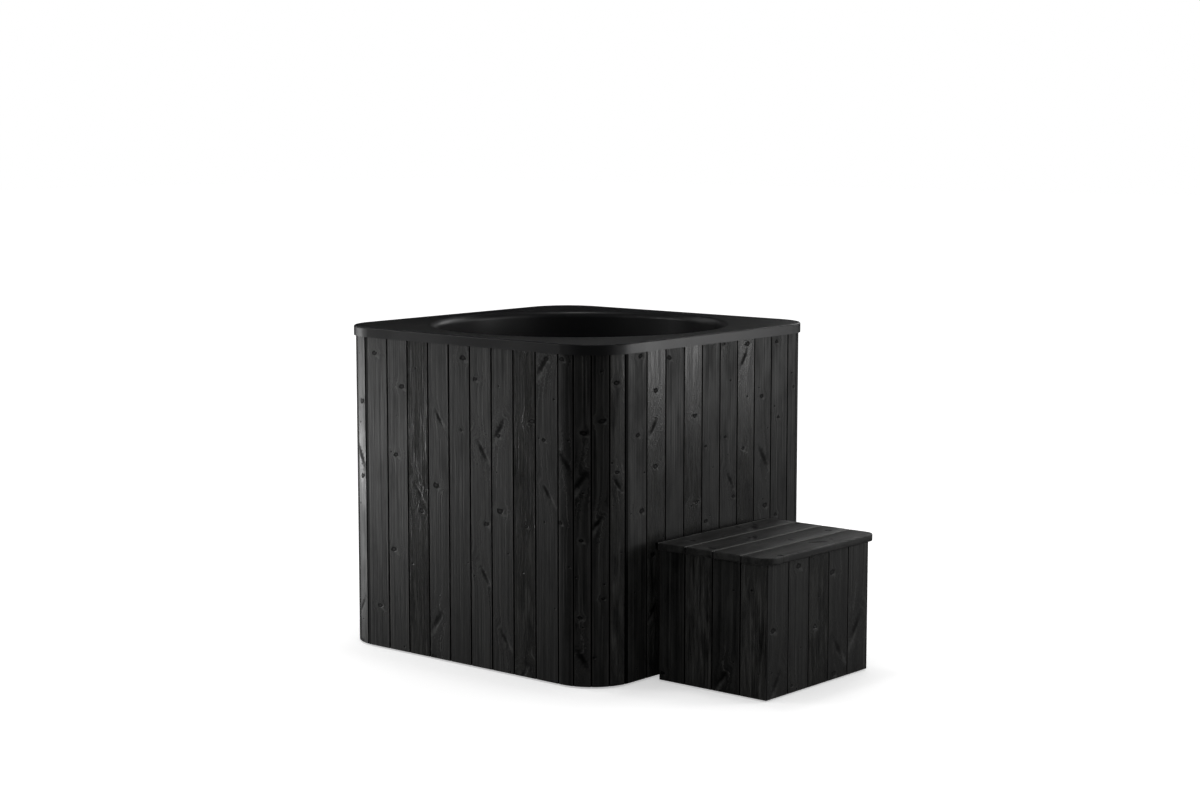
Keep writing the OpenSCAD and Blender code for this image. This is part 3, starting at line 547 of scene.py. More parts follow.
    def tone(
        self, tree: Tree, broad: Node, fine: Node, fleck: Node, blotch: Node, flame: Node, roll: Feed
    ) -> Node:
        """Adds the wood's colour between the marks, with each board at its own level.

        Args:
            tree: The group's node tree.
            broad: Noise of the broad streaks.
            fine: Noise of the fine streaks.
            fleck: Noise of the flecks.
            blotch: Noise of the blotches.
            flame: How far the board is flamed.
            roll: The board's roll for its level.

        Returns:
            The colour.
        """
        tone = add_node(tree, MIX, {0: self.fine_share, 2: broad, 3: fine})
        tone = add_node(tree, MIX, {0: flame, 2: tone, 3: fleck})
        tone = add_node(tree, MIX, {0: self.blotch_share, 2: tone, 3: blotch})
        tone = add_node(tree, RANGE, {"Value": tone, "From Min": self.tones[0], "From Max": self.tones[1]})
        wood = add_node(tree, MIX, {0: tone, 6: linear(self.dark), 7: linear(self.light)}, data_type="RGBA")
        level = add_node(tree, RANGE, {"Value": roll, "To Min": 1.0 - self.spread, "To Max": 1.0 + self.spread})
        # A flamed board is coloured paler: partly its own tone, partly painted sheen for its gloss
        level = add_node(tree, MATH, {0: flame, 1: self.glow, 2: level}, operation="MULTIPLY_ADD")
        return add_node(tree, VECTOR, {0: wood.outputs[2], 3: level}, operation="SCALE")

    def thin(
        self, tree: Tree, inset: Node, depth: Feed, glint: Node, fine: Node, fleck: Node, flame: Node
    ) -> Node:
        """Adds where the wood shows paler: worn stain with a painted highlight on the edges, painted glints beside
        the knots, and dashes along the pores.

        Args:
            tree: The group's node tree.
            inset: Distance from the nearer joint.
            depth: Place into the board.
            glint: The painted highlights beside the knots.
            fine: Noise of the fine streaks.
            fleck: Noise of the flecks.
            flame: How far the board is flamed.

        Returns:
            How thin the stain is, 0 to 1.
        """
        # Pale stripe along each joint: stain worn thin, with a painted highlight of the eased edge
        worn_and_sheen = add_node(
            tree, RANGE,
            {"Value": inset, "From Min": self.groove, "From Max": self.groove + self.worn_and_sheen,
             "To Min": self.wear_and_sheen, "To Max": 0.0},
        )
        above = add_node(tree, MATH, {0: depth, 1: self.wear_and_sheen_from}, operation="GREATER_THAN")
        worn_and_sheen = add_node(tree, MATH, {0: worn_and_sheen, 1: above}, operation="MULTIPLY")
        # Painted highlight: the glints beside the knots join the pale places
        glint = add_node(tree, MATH, {0: glint, 1: self.glints}, operation="MULTIPLY")
        worn_and_sheen = add_node(tree, MATH, {0: worn_and_sheen, 1: glint}, operation="MAXIMUM")
        dash = add_node(tree, MATH, {0: fleck, 1: self.dash_lift}, operation="ADD")
        dash = add_node(tree, MIX, {0: flame, 2: fine, 3: dash})
        dash = add_node(
            tree, RANGE,
            {"Value": dash, "From Min": self.dashes[0], "From Max": self.dashes[1], "To Max": self.pores},
        )
        return add_node(tree, MATH, {0: worn_and_sheen, 1: dash}, operation="MAXIMUM")

    def marks(
        self, tree: Tree, across: Feed, pitch: Feed, along: Feed, seed: Feed, flat: Node
    ) -> tuple[Node, Node, Node]:
        """Adds all knots, and bends the grain round them.

        Args:
            tree: The group's node tree.
            across: Place across the board, 0 to 1.
            pitch: Width of a board.
            along: Place along the board.
            seed: The board's own number.
            flat: Place across the board in metres.

        Returns:
            The knots' dark, their painted glints, and the place across as the grain sees it.
        """
        dark, glint = 0.0, 0.0
        bent = add_node(tree, MATH, {0: seed, 1: self.step_aside, 2: flat}, operation="MULTIPLY_ADD")
        for layer in (self.knots, self.pins, self.spikes):
            spot, gleam, pull = layer.scatter(tree, across, pitch, along, seed)
            dark = add_node(tree, MATH, {0: dark, 1: spot}, operation="MAXIMUM")
            glint = add_node(tree, MATH, {0: glint, 1: gleam}, operation="MAXIMUM")
            bent = add_node(tree, MATH, {0: bent, 1: pull}, operation="SUBTRACT")
        return dark, glint, bent


@dataclass(frozen=True)
class MouldedPolyethylene:
    """Rotomoulded polyethylene, black through and through, with a satin skin.

    The mould's fine pebble softens reflections, and the skin waves a little over its size.

    Args:
        name: Name of the material and how it was made.
        colour: Body colour.
        roughness: Roughness of the skin.
        duller: How much duller the skin gets in places.
        shinier: How much shinier it gets in others.
        mirror: Level of its mirror reflection.
        pebble: Size of the mould's pebble.
        pebble_rise: Height of the pebble against that of the waves.
        wave: Length of the skin's waves.
        wave_rise: Height of the waves.
        bump: How much of that height the light sees, 0 to 1.
    """

    name: str = "moulded_polyethylene"
    colour: str = "#171718"
    roughness: float = 0.36
    duller: float = 0.05
    shinier: float = 0.03
    mirror: float = 0.3
    pebble: float = 1.2 * MM
    pebble_rise: float = 0.06
    wave: float = 0.2
    wave_rise: float = 1.5 * MM
    bump: float = 0.4

    def material(self) -> bpy.types.Material:
        """Makes the finish."""
        material, tree, output = new_material(self.name)
        place = add_node(tree, COORDS).outputs["Object"]
        pebble = add_node(tree, NOISE, {"Vector": place, "Scale": 1 / self.pebble, "Detail": EVEN})
        wave = add_node(tree, NOISE, {"Vector": place, "Scale": 1 / self.wave, "Detail": ROLLING})
        height = add_node(tree, MATH, {0: pebble, 1: self.pebble_rise, 2: wave}, operation="MULTIPLY_ADD")
        bump = add_node(tree, BUMP, {"Height": height, "Distance": self.wave_rise, "Strength": self.bump})
        rough = add_node(
            tree, RANGE,
            {"Value": wave, "From Min": NOISE_SPAN[0], "From Max": NOISE_SPAN[1],
             "To Min": self.roughness - self.shinier, "To Max": self.roughness + self.duller},
        )
        shader = add_node(
            tree, PRINCIPLED,
            {"Base Color": linear(self.colour), "Roughness": rough, "Normal": bump,
             "Specular IOR Level": self.mirror},
        )
        tree.links.new(shader.outputs[0], output.inputs[0])
        return material


@dataclass(frozen=True)
class Speckled:
    """A plain made finish whose tone and gloss vary with a fine noise.

    It serves the hidden or small pieces: raw timber, plywood, foam, metal, rubber and plastic.

    Args:
        name: Name of the material and how it was made.
        low: Colour of the darker specks.
        high: Colour of the lighter ones.
        grain: Size of a speck along X, Y and Z.
        roughness: Roughness in the middle of the range.
        metallic: 1 for bare metal.
        depth: Height of the surface's texture.
        bump: How much of that height the light sees, 0 to 1.
        vary: How far the roughness goes to either side.
        glossiest: The least roughness.
    """

    name: str
    low: str
    high: str
    grain: Triple
    roughness: float = 0.5
    metallic: float = 0.0
    depth: float = 0.2 * MM
    bump: float = 0.6
    vary: float = 0.12
    glossiest: float = 0.05

    def material(self) -> bpy.types.Material:
        """Makes the finish."""
        material, tree, output = new_material(self.name)
        place = add_node(tree, COORDS).outputs["Object"]
        scaled = add_node(tree, VECTOR, {0: place, 1: tuple(1 / g for g in self.grain)}, operation="MULTIPLY")
        speck = add_node(tree, NOISE, {"Vector": scaled, "Scale": 1.0, "Detail": DETAILED})
        colour = add_node(
            tree, MIX, {0: speck, 6: linear(self.low), 7: linear(self.high)}, data_type="RGBA"
        ).outputs[2]
        rough = add_node(
            tree, RANGE,
            {"Value": speck, "To Min": max(self.roughness - self.vary, self.glossiest),
             "To Max": self.roughness + self.vary},
        )
        bump = add_node(tree, BUMP, {"Height": speck, "Distance": self.depth, "Strength": self.bump})
        shader = add_node(
            tree, PRINCIPLED,
            {"Base Color": colour, "Roughness": rough, "Metallic": self.metallic, "Normal": bump},
        )
        tree.links.new(shader.outputs[0], output.inputs[0])
        return material


# Planed softwood battens: pale, with grain drawn out along their length
TIMBER = Speckled("planed_softwood", "#a87c46", "#d2aa74", (6 * MM, 6 * MM, 120 * MM), 0.62)
# Rotary-cut plywood: pale faces with wide soft figure
PLYWOOD = Speckled("rotary_cut_plywood", "#b8935e", "#d8bd8c", (90 * MM, 12 * MM, 1.5 * MM), 0.66)
# Cut polyurethane foam: cream, with open cells that kill all gloss
FOAM = Speckled("cut_polyurethane_foam", "#cbbf96", "#e6dcb8", (3 * MM, 3 * MM, 3 * MM), 0.92)
# Brushed stainless steel: cool grey, with upright hairlines, drawn coarse enough to show
STAINLESS = Speckled(
    "brushed_stainless", "#8f9294", "#c3c6c8", (0.8 * MM, 0.8 * MM, 9 * MM), 0.3, metallic=1.0, depth=0.02 * MM
)
# Zinc plated steel: soft blue-white lustre
ZINC = Speckled(
    "zinc_plated_steel", "#9aa0a6", "#c8ccd0", (3 * MM, 3 * MM, 3 * MM), 0.38, metallic=1.0, depth=0.02 * MM
)
# Forged brass: warm, a little dull where it was handled
BRASS = Speckled(
    "forged_brass", "#85704a", "#bda677", (4 * MM, 4 * MM, 4 * MM), 0.36, metallic=1.0, depth=0.05 * MM
)
# Moulded nitrile rubber: deep black with a dry bloom
RUBBER = Speckled("moulded_rubber", "#0b0b0b", "#191918", (5 * MM, 5 * MM, 5 * MM), 0.78, depth=0.1 * MM)
# Extruded PVC pipe: even mid grey with a faint sheen
PVC = Speckled("extruded_pvc", "#63686c", "#787d81", (20 * MM, 120 * MM, 20 * MM), 0.42, depth=0.05 * MM)
# Turned PTFE: waxy white
PTFE = Speckled("turned_ptfe", "#dcdcd8", "#f2f2ee", (6 * MM, 6 * MM, 6 * MM), 0.4, depth=0.03 * MM)


def dress(node: str, material: bpy.types.Material) -> None:
    """Gives a CAD node its finish.

    Args:
        node: The node's name.
        material: The finish.
    """
    piece = frame["nodes"][node]
    if not piece.material_slots:
        piece.data.materials.append(material)
    for slot in piece.material_slots:
        slot.link = "OBJECT"
        slot.material = material
    log.info("dressed %s in %s", node, material.name)


def choose(piece: bpy.types.Object, test: Callable[[Vector], bool]) -> None:
    """Goes into edit mode with the points of a mesh selected that pass a test.

    Args:
        piece: The piece, which is the active object.
        test: Takes a point's place and says whether to select it.
    """
    bpy.ops.object.mode_set(mode="EDIT")
    bpy.ops.mesh.select_mode(type="VERT")
    bpy.ops.mesh.select_all(action="DESELECT")
    bpy.ops.object.mode_set(mode="OBJECT")
    for point in piece.data.vertices:
        point.select = test(point.co)
    bpy.ops.object.mode_set(mode="EDIT")


def on_cut(value: float, cuts: list[float], slack: float = 0.01 * MM) -> bool:
    """Tells whether a coordinate lies on one of the cuts.

    Args:
        value: The coordinate.
        cuts: The places of the cuts.
        slack: How far off it may lie.

    Returns:
        True where it does.
    """
    return any(abs(value - cut) < slack for cut in cuts)


@dataclass(frozen=True)
class EasedCopy:
    """Copies of CAD nodes with eased edges, as cast, turned and planed pieces have them.

    Args:
        radius: Radius of the eased edges.
        segments: Faces round an eased edge.
        sharp: Least angle in degrees between two faces whose edge is eased.
        weld: Distance under which two points are one.
        flat: Angle in degrees under which two faces are one.
    """

    radius: float
    segments: int = 2
    sharp: float = 35.0
    weld: float = 0.001 * MM
    flat: float = 0.5

    def merged(self, node: str, name: str) -> bpy.types.Object:
        """Copies a node's mesh and joins its loose triangles into whole faces.

        Args:
            node: The CAD node.
            name: Name of the copy.

        Returns:
            The copy, active and alone in the selection.
        """
        bpy.ops.object.select_all(action="DESELECT")
        piece = bpy.data.objects.new(name, frame["nodes"][node].data.copy())
        bpy.context.scene.collection.objects.link(piece)
        bpy.context.view_layer.objects.active = piece
        piece.select_set(True)
        bpy.ops.mesh.customdata_custom_splitnormals_clear()
        bpy.ops.object.mode_set(mode="EDIT")
        bpy.ops.mesh.select_all(action="SELECT")
        bpy.ops.mesh.remove_doubles(threshold=self.weld)
        bpy.ops.mesh.dissolve_limited(angle_limit=math.radians(self.flat))
        bpy.ops.object.mode_set(mode="OBJECT")
        return piece

    def finish(self, piece: bpy.types.Object, node: str, material: bpy.types.Material) -> None:
        """Eases the copy's sharp edges, dresses it and puts it in the node's place.

        Args:
            piece: The copy.
            node: The CAD node that it stands for.
            material: Its finish.
        """
        bevel = piece.modifiers.new("eased_edges", "BEVEL")
        bevel.width = self.radius
        bevel.segments = self.segments
        bevel.limit_method = "ANGLE"
        bevel.angle_limit = math.radians(self.sharp)
        bpy.ops.object.modifier_apply(modifier=bevel.name)
        bpy.ops.object.shade_smooth_by_angle(angle=math.radians(self.sharp))
        piece.data.materials.clear()
        piece.data.materials.append(material)
        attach(piece, frame["nodes"][node]["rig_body"])
        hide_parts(node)
        log.info("built %s for %s in %s", piece.name, node, material.name)

    def build(self, node: str, name: str, material: bpy.types.Material) -> None:
        """Makes the whole copy of a node.

        Args:
            node: The CAD node.
            name: Name of the copy.
            material: Its finish.
        """
        self.finish(self.merged(node, name), node, material)


@dataclass
class Cladding:
    """Upright tongue-and-groove boards on the four sides and round the four corners.

    Args:
        finish: The boards' stain.
        board_w: Cover width of a board.
        first_joint: Place of the joint behind a side's first board, from the side's middle.
        first_board: Number of a side's first board, where 0 follows that joint.
        last_board: Number of its last board.
        slat_w: Width of a corner slat round the arc.
        slat_lead: Straight lead of the first slat before its corner.
        corner_r: Radius of the corners over the boards.
        corner_at: Place of the front left arc's centre along X and Y.
        flat_seed: Seed of the front's boards.
        corner_seed: Seed of the front left corner's slats.
        seed_step: Step of the seeds from side to side.
    """

    finish: StainedPine
    board_w: float = 0.087
    first_joint: float = -0.314
    first_board: float = -1.0
    last_board: float = 7.0
    slat_w: float = 0.0533
    slat_lead: float = 0.011
    corner_r: float = 0.14
    corner_at: float = -0.393
    flat_seed: float = 3963.0
    corner_seed: float = 12.0
    seed_step: float = 20.0

    def dress(self) -> None:
        """Stains every board, each with grain of its own."""
        for i, (side, corner) in enumerate(zip(Side, Corner)):
            quarter = i * math.pi / 2
            flat = BoardLayout(
                turn=Euler((0.0, 0.0, -quarter)), pitch=self.board_w, first=self.first_joint,
                least=self.first_board, most=self.last_board, seed=self.flat_seed + self.seed_step * i,
            )
            dress(f"cladding_{side.value}", self.finish.material(side.value, flat))
            centre = Matrix.Rotation(quarter, 3, "Z") @ Vector((self.corner_at, self.corner_at, 0.0))
            curved = BoardLayout(
                turn=Euler((0.0, 0.0, math.pi - quarter)), centre=tuple(centre), pitch=self.slat_w,
                first=math.pi * self.corner_r - self.slat_lead, arc=self.corner_r,
                seed=self.corner_seed + self.seed_step * i,
            )
            dress(f"corner_slats_{corner.value}", self.finish.material(corner.value, curved))


@dataclass
class Shell:
    """The moulded rim, apron and bowl in one piece."""

    finish: MouldedPolyethylene = field(default_factory=MouldedPolyethylene)

    def dress(self) -> None:
        """Gives the moulding its satin skin."""
        dress("tub_shell", self.finish.material())


@dataclass
class Carcass:
    """The frame and insulation that the boards hide."""

    def dress(self) -> None:
        """Leaves the timber, plywood and foam raw, and the screws plated."""
        timber, plywood, foam = TIMBER.material(), PLYWOOD.material(), FOAM.material()
        for node in ("base_runner_left", "base_runner_middle", "base_runner_right"):
            dress(node, timber)
        for corner in Corner:
            dress(f"corner_post_{corner.value}", timber)
        for node in ("floor_panel", "lower_ring", "middle_ring", "upper_ring"):
            dress(node, plywood)
        for node in ("base_insulation", "wall_insulation"):
            dress(node, foam)
        dress("frame_screws", ZINC.material())


@dataclass
class DrainLine:
    """Drain fitting, pipe and the ball valve behind the tub.

    Args:
        axis_z: Height of the pipe's axis.
        ball_y: Place of the ball's centre.
        thread_start: Where the outlet's thread starts.
        thread_r: Radius of its crests.
        thread_root: Radius of its grooves.
        thread_pitch: Distance from groove to groove.
        threads: How many grooves it has.
        thread_ease: Radius of the screwed end's eased edges.
        near_wall: How far off the outlet's wall a point may lie and still count.
        rib_start: Where the grip's first groove lies.
        rib_step: Distance from a groove's bottom to the next rib's top.
        ribs: How many grooves it has.
        rib_depth: Depth of a groove.
        grip_ease: Radius of the grip's eased edges.
        grip_sharp: Least angle in degrees of an edge that is eased there.
        outer_share: Share of the grip's half size from which a point lies on its outside.
    """

    axis_z: float = 0.105
    ball_y: float = 0.589
    thread_start: float = 0.627
    thread_r: float = 16.6 * MM
    thread_root: float = 15.2 * MM
    thread_pitch: float = 2.3 * MM
    threads: int = 7
    thread_ease: float = 0.2 * MM
    near_wall: float = 0.1 * MM
    rib_start: float = 54 * MM
    rib_step: float = 2 * MM
    ribs: int = 14
    rib_depth: float = 0.7 * MM
    grip_ease: float = 0.5 * MM
    grip_sharp: float = 44.0
    outer_share: float = 0.9

    def dress(self) -> None:
        """Gives each fitting its metal or plastic."""
        steel, brass, rubber = STAINLESS.material(), BRASS.material(), RUBBER.material()
        pvc, ptfe = PVC.material(), PTFE.material()
        finishes = {
            "drain_flange": steel, "drain_nut": steel, "drain_seal": rubber, "drain_elbow": pvc, "drain_pipe": pvc,
            "valve_seats": ptfe, "valve_ball": steel, "valve_stem": steel,
        }
        for node, material in finishes.items():
            dress(node, material)
        for node, name, radius, material in (
            ("drain_grate", "pressed_drain_grate", 0.4 * MM, steel),
            ("wall_collar", "moulded_wall_collar", 0.6 * MM, pvc),
            ("valve_body", "forged_valve_body", 0.5 * MM, brass),
            ("packing_nut", "turned_packing_nut", 0.3 * MM, brass),
            ("valve_lever", "pressed_valve_lever", 0.8 * MM, steel),
            ("lever_nut", "turned_lever_nut", 0.3 * MM, steel),
        ):
            EasedCopy(radius).build(node, name, material)
        self.outlet(brass)
        self.grip(rubber)

    def outlet(self, brass: bpy.types.Material) -> None:
        """Builds the valve's screwed end with its thread, as rings a pitch apart.

        Args:
            brass: Its finish.
        """
        turned = EasedCopy(self.thread_ease)
        piece = turned.merged("valve_end", "threaded_outlet")

        def on_wall(point: Vector) -> bool:
            """Whether a point lies on the outlet's outer wall."""
            radius = math.hypot(point.x, point.z - self.axis_z)
            return abs(radius - self.thread_r) < self.near_wall and point.y > self.thread_start - self.near_wall

        half = self.thread_pitch / 2
        rings = [self.thread_start + half * (i + 1) for i in range(2 * self.threads)]
        for y in rings:
            choose(piece, on_wall)
            bpy.ops.mesh.bisect(plane_co=(0.0, y, self.axis_z), plane_no=(0.0, 1.0, 0.0))
        choose(piece, lambda point: on_wall(point) and on_cut(point.y, rings[::2]))
        shrink = self.thread_root / self.thread_r
        bpy.ops.transform.resize(value=(shrink, 1.0, shrink), center_override=(0.0, self.thread_start, self.axis_z))
        bpy.ops.object.mode_set(mode="OBJECT")
        turned.finish(piece, "valve_end", brass)

    def grip(self, rubber: bpy.types.Material) -> None:
        """Builds the lever's dipped sleeve with its finger ribs.

        Args:
            rubber: Its finish.
        """
        dipped = EasedCopy(self.grip_ease, sharp=self.grip_sharp)
        piece = dipped.merged("lever_grip", "ribbed_lever_grip")
        low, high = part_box("lever_grip")
        middle, half = (low + high) / 2, (high - low) / 2
        cuts = [self.rib_start + self.rib_step * i for i in range(2 * self.ribs)]
        for x in cuts:
            choose(piece, lambda point: True)
            bpy.ops.mesh.bisect(plane_co=(x, self.ball_y, middle.z), plane_no=(1.0, 0.0, 0.0))

        def in_groove(point: Vector) -> bool:
            """Whether a point lies on the sleeve's outside at the bottom of a groove."""
            out = max(abs(point.y - middle.y) / half.y, abs(point.z - middle.z) / half.z)
            return out > self.outer_share and on_cut(point.x, cuts[::2])

        choose(piece, in_groove)
        bpy.ops.transform.resize(
            value=(1.0, 1.0 - self.rib_depth / half.y, 1.0 - self.rib_depth / half.z), center_override=middle
        )
        bpy.ops.object.mode_set(mode="OBJECT")
        dipped.finish(piece, "lever_grip", rubber)


@dataclass
class BoxStep:
    """The free-standing step: a boarded box under four tread boards.

    Args:
        finish: The box boards' stain.
        tread_finish: The treads' stain.
        centre: The box's middle on the floor.
        board_w: Pitch of the box boards and of the treads.
        boards_wide: Boards in the front and in the rear.
        boards_deep: Boards in each end.
        board_seed: Seed of the front's boards.
        seed_step: Step of the seeds from side to side.
        treads: How many treads there are.
        tread_front: Place of the treads' front edge along Y.
        tread_w: Width of a tread.
        tread_ease: Radius of its eased edges.
        tread_ease_faces: Faces round an eased edge.
        tread_nose: How far the first tread's pattern runs past its front, so that the pale edge stripe leaves its
            front edge dark.
        tread_seed: Seed of the first tread.
    """

    finish: StainedPine
    tread_finish: StainedPine
    centre: Triple = (-0.0455, -0.7635, 0.0)
    board_w: float = 0.1
    boards_wide: int = 5
    boards_deep: int = 4
    board_seed: float = 90.0
    seed_step: float = 10.0
    treads: int = 4
    tread_front: float = -0.977
    tread_w: float = 0.095
    tread_ease: float = 2 * MM
    tread_ease_faces: int = 3
    tread_nose: float = 12 * MM
    tread_seed: float = 141.0

    def dress(self) -> None:
        """Stains the boards and leaves the battens inside raw."""
        for i, side in enumerate(Side):
            boards = self.boards_deep if side in (Side.LEFT, Side.RIGHT) else self.boards_wide
            layout = BoardLayout(
                turn=Euler((0.0, 0.0, -i * math.pi / 2)), centre=self.centre, pitch=self.board_w,
                first=-boards * self.board_w / 2, least=0.0, most=boards - 1.0,
                seed=self.board_seed + self.seed_step * i,
            )
            dress(f"step_boards_{side.value}", self.finish.material(f"step_{side.value}", layout))
        self.lay_treads()
        timber = TIMBER.material()
        for corner in Corner:
            dress(f"step_post_{corner.value}", timber)
        for node in ("step_upper_rails", "step_lower_rails", "step_bearer"):
            dress(node, timber)
        dress("tread_screws", ZINC.material())
        dress("step_glides", RUBBER.material())

    def lay_treads(self) -> None:
        """Builds the tread boards, whose grain runs along X."""
        lying = Matrix(((0, 1, 0), (0, 0, 1), (1, 0, 0))).to_euler()
        for i in range(self.treads):
            nose = 0.0 if i else self.tread_nose
            layout = BoardLayout(
                turn=lying, pitch=self.tread_w + nose, first=self.tread_front + i * self.board_w - nose,
                least=0.0, most=0.0, seed=self.tread_seed + i,
            )
            finish = self.tread_finish.material(f"{i + 1}", layout)
            EasedCopy(self.tread_ease, self.tread_ease_faces).build(
                f"tread_board_{i + 1}", f"eased_tread_{i + 1}", finish
            )


@dataclass(frozen=True)
class SoftBox:
    """A square soft box that faces the tub.

    Args:
        name: Its name.
        place: Where it hangs.
        size: Its side.
        power: Its power in watts.
        mirrored: Whether reflections show it.
        aim: The point that it faces.
    """

    name: str
    place: Triple
    size: float
    power: float
    mirrored: bool = True
    aim: Triple = (0.0, 0.0, 0.5)

    def hang(self) -> None:
        """Adds the lamp and turns it to the tub."""
        data = bpy.data.lights.new(self.name, "AREA")
        data.shape = "SQUARE"
        data.size = self.size
        data.energy = self.power
        lamp = bpy.data.objects.new(self.name, data)
        lamp.location = self.place
        lamp.visible_glossy = self.mirrored
        lamp.rotation_euler = (Vector(self.aim) - Vector(self.place)).to_track_quat("-Z", "Y").to_euler()
        bpy.context.scene.collection.objects.link(lamp)


@dataclass(frozen=True)
class BlackCard:
    """A black card, as studios use them to keep reflections dark; only reflections show it.

    Args:
        name: Its name.
        sides: Its width and height.
        place: Its middle.
        turn: Its turn; unturned, it lies level.
        cloth: Colour of the cloth that covers it.
    """

    name: str
    sides: tuple[float, float]
    place: Triple
    turn: Triple = (0.0, 0.0, 0.0)
    cloth: str = "#070707"

    @classmethod
    def standing(cls, name: str, azimuth: float, distance: float, width: float, height: float) -> "BlackCard":
        """Plans a card that stands on the floor and faces the tub.

        Args:
            name: Its name.
            azimuth: Direction from the tub, in degrees from +X towards +Y.
            distance: How far from the tub's middle it stands.
            width: Its width.
            height: Its height.

        Returns:
            The card.
        """
        angle = math.radians(azimuth)
        place = (distance * math.cos(angle), distance * math.sin(angle), height / 2)
        return cls(name, (width, height), place, (math.pi / 2, 0.0, angle + math.pi / 2))

    def put(self) -> None:
        """Puts the card in its place and hides it from all but reflections."""
        bpy.ops.mesh.primitive_plane_add(size=1.0, location=self.place, rotation=self.turn)
        card = bpy.context.object
        card.name = self.name
        card.scale = (*self.sides, 1.0)
        # Woven black cloth: so dull and dark that it mirrors and scatters next to nothing
        material, tree, output = new_material(f"{self.name}_cloth")
        cloth = add_node(tree, DIFFUSE, {"Color": linear(self.cloth)})
        tree.links.new(cloth.outputs[0], output.inputs[0])
        card.data.materials.append(material)
        card.visible_camera = False
        card.visible_diffuse = False
        card.visible_shadow = False


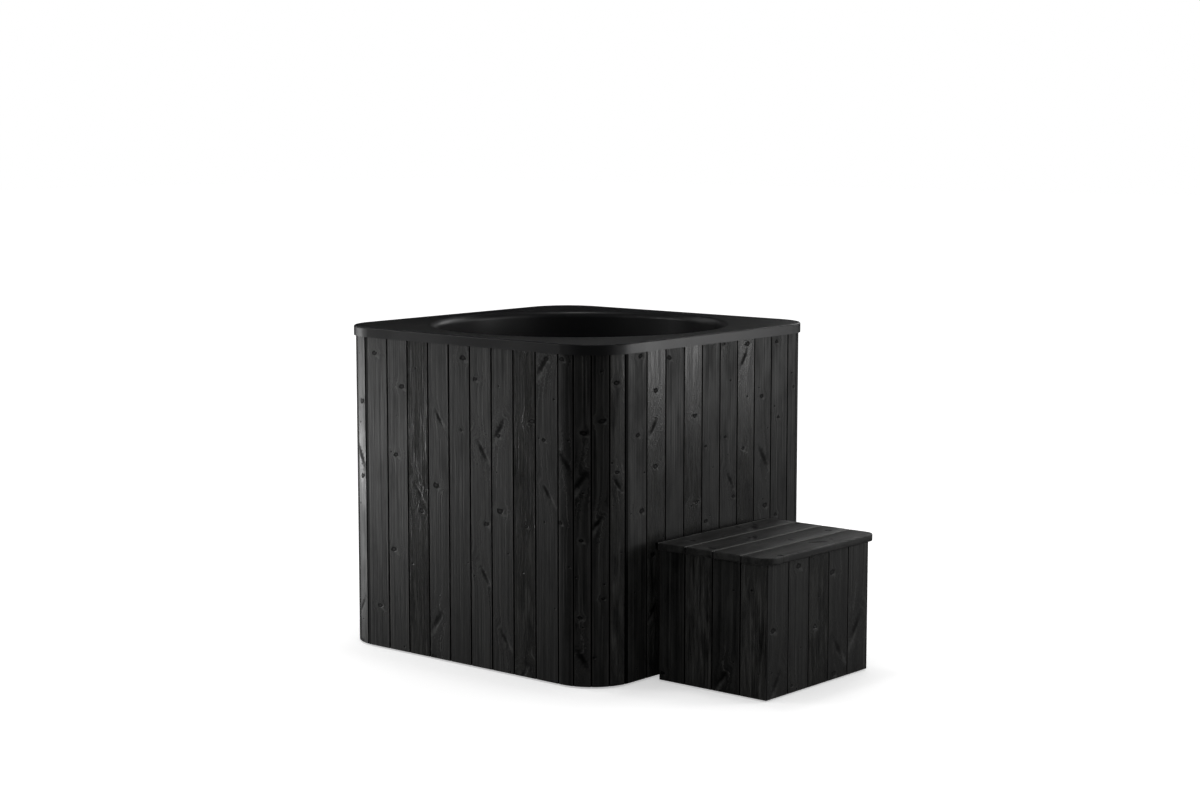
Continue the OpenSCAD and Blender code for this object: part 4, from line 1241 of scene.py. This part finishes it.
@dataclass
class Studio:
    """White floor and background, soft lamps, black cards and the camera.

    Args:
        eye: Where the photograph was taken from.
        pitch_down: How far the camera looks down, in degrees.
        heading: Its direction, in degrees from +Y towards +X.
        lens: Its focal length in millimetres.
        sensor: Width of its sensor in millimetres.
        sight: How far it sees.
        white: Colour of the background and of the floor's glow.
        fill: Strength of the world to all but the eye and reflections.
        floor_paint: Colour of the floor.
        floor_half: Half the floor's side.
        floor_level: Height of the floor, a hair under the tub.
        floor_glow: Strength of the floor's glow near the tub.
        glow_span: Where the glow starts to rise and where it reaches white, from the middle.
        lamps: The soft boxes.
        cards: The black cards.
    """

    eye: Triple = (-5.40786, -4.67696, 1.63554)
    pitch_down: float = 7.0712
    heading: float = 49.6833
    lens: float = 68.556
    sensor: float = 36.0
    sight: float = 200.0
    white: str = "#ffffff"
    fill: float = 0.15
    floor_paint: str = "#f3f3f3"
    floor_half: float = 40.0
    floor_level: float = -0.2 * MM
    floor_glow: float = 0.45
    glow_span: tuple[float, float] = (1.5, 6.0)
    lamps: tuple[SoftBox, ...] = (
        SoftBox("top_box", (0.0, 0.0, 5.0), 6.0, 170.0, mirrored=False),
        SoftBox("strip_box", (0.0, 0.0, 4.9), 0.5, 18.0),
        SoftBox("right_box", (1.8, -2.5, 0.95), 0.9, 15.5),
        SoftBox("left_box", (-1.0, 2.4, 0.32), 0.6, 36.0),
        SoftBox("high_left_box", (-3.0, 3.0, 1.9), 0.6, 20.0),
        SoftBox("tread_box", (3.2, 0.4, 2.0), 1.2, 10.0),
    )
    cards: tuple[BlackCard, ...] = (
        BlackCard("floor_card", (14.0, 14.0), (0.0, 0.0, -0.1 * MM)),
        BlackCard("ceiling_card", (14.0, 14.0), (0.0, 0.0, 5.5)),
        BlackCard.standing("camera_flag", 220.3, 2.6, 5.0, 4.0),
        BlackCard.standing("rear_flag", 40.3, 3.4, 8.0, 2.6),
        BlackCard.standing("left_flag", 135.0, 4.0, 5.0, 3.0),
    )

    def camera(self) -> None:
        """Places the camera where the photograph was taken from."""
        data = bpy.data.cameras.new("camera")
        data.lens = self.lens
        data.sensor_width = self.sensor
        data.clip_end = self.sight
        camera = bpy.data.objects.new("camera", data)
        camera.location = self.eye
        camera.rotation_euler = (math.radians(90.0 - self.pitch_down), 0.0, math.radians(-self.heading))
        bpy.context.scene.collection.objects.link(camera)
        bpy.context.scene.camera = camera

    @staticmethod
    def seen(tree: Tree) -> Node:
        """Adds a value that is 1 for rays from the eye, mirrored rays and rays through glass.

        Args:
            tree: The node tree.

        Returns:
            The value's node.
        """
        path = add_node(tree, RAYS).outputs
        both = add_node(tree, MATH, {0: path["Is Camera Ray"], 1: path["Is Glossy Ray"]}, operation="ADD")
        return add_node(tree, MATH, {0: both, 1: path["Is Transmission Ray"]}, operation="ADD", use_clamp=True)

    def background(self) -> None:
        """Makes the world white to the eye and a soft fill to everything else."""
        world = bpy.data.worlds.new("studio")
        bpy.context.scene.world = world
        world.use_nodes = True
        tree = world.node_tree
        tree.nodes.clear()
        strength = add_node(tree, RANGE, {"Value": self.seen(tree), "To Min": self.fill, "To Max": 1.0})
        shade = add_node(tree, "ShaderNodeBackground", {"Color": linear(self.white), "Strength": strength})
        output = add_node(tree, "ShaderNodeOutputWorld")
        tree.links.new(shade.outputs[0], output.inputs[0])

    def floor(self) -> None:
        """Lays a white floor that keeps the object's shadow."""
        bpy.ops.mesh.primitive_plane_add(size=2 * self.floor_half, location=(0.0, 0.0, self.floor_level))
        floor = bpy.context.object
        floor.name = "studio_floor"
        # Matt white floor paint: no gloss, so it shows the shadow and no mirror image
        material, tree, output = new_material("white_studio_floor")
        paint = add_node(tree, DIFFUSE, {"Color": linear(self.floor_paint)})
        place = add_node(tree, COORDS).outputs["Object"]
        distance = add_node(tree, VECTOR, {0: place}, operation="LENGTH").outputs["Value"]
        ramp = add_node(
            tree, RANGE,
            {"Value": distance, "From Min": self.glow_span[0], "From Max": self.glow_span[1],
             "To Min": self.floor_glow, "To Max": 1.0},
        )
        strength = add_node(tree, MATH, {0: self.seen(tree), 1: ramp}, operation="MULTIPLY")
        glow = add_node(tree, "ShaderNodeEmission", {"Color": linear(self.white), "Strength": strength})
        both = add_node(tree, "ShaderNodeAddShader", {0: paint, 1: glow})
        tree.links.new(both.outputs[0], output.inputs[0])
        floor.data.materials.append(material)

    def build(self) -> None:
        """Sets the whole studio up."""
        bpy.context.scene.view_settings.view_transform = "Standard"
        self.camera()
        self.background()
        self.floor()
        for lamp in self.lamps:
            lamp.hang()
        for card in self.cards:
            card.put()
        log.info("studio is set")


def main() -> None:
    """Builds the studio and dresses the tub and its step."""
    bpy.ops.object.select_all(action="DESELECT")
    Studio().build()
    pine = StainedPine()
    Cladding(pine).dress()
    Shell().dress()
    Carcass().dress()
    DrainLine().dress()
    # Sanded pine treads: greyer and flatter than the cladding, with no V grooves, so stain pools nowhere;
    # their pale edge stripes are painted highlights of the eased edges catching the light
    sanded = StainedPine(
        "sanded_black_pine_tread", dark="#141414", light="#2d2d2c", pale="#8a8a88", dull=0.52, shiny=0.44,
        flamed=2.0, spread=0.12, relief=0.4, groove=-2 * MM, worn_and_sheen=4 * MM, wear_and_sheen=1.0, wear_and_sheen_from=0.4132, pores=0.0,
        glints=0.1,
    )
    BoxStep(pine, sanded).dress()


if __name__ == "__main__":
    main()
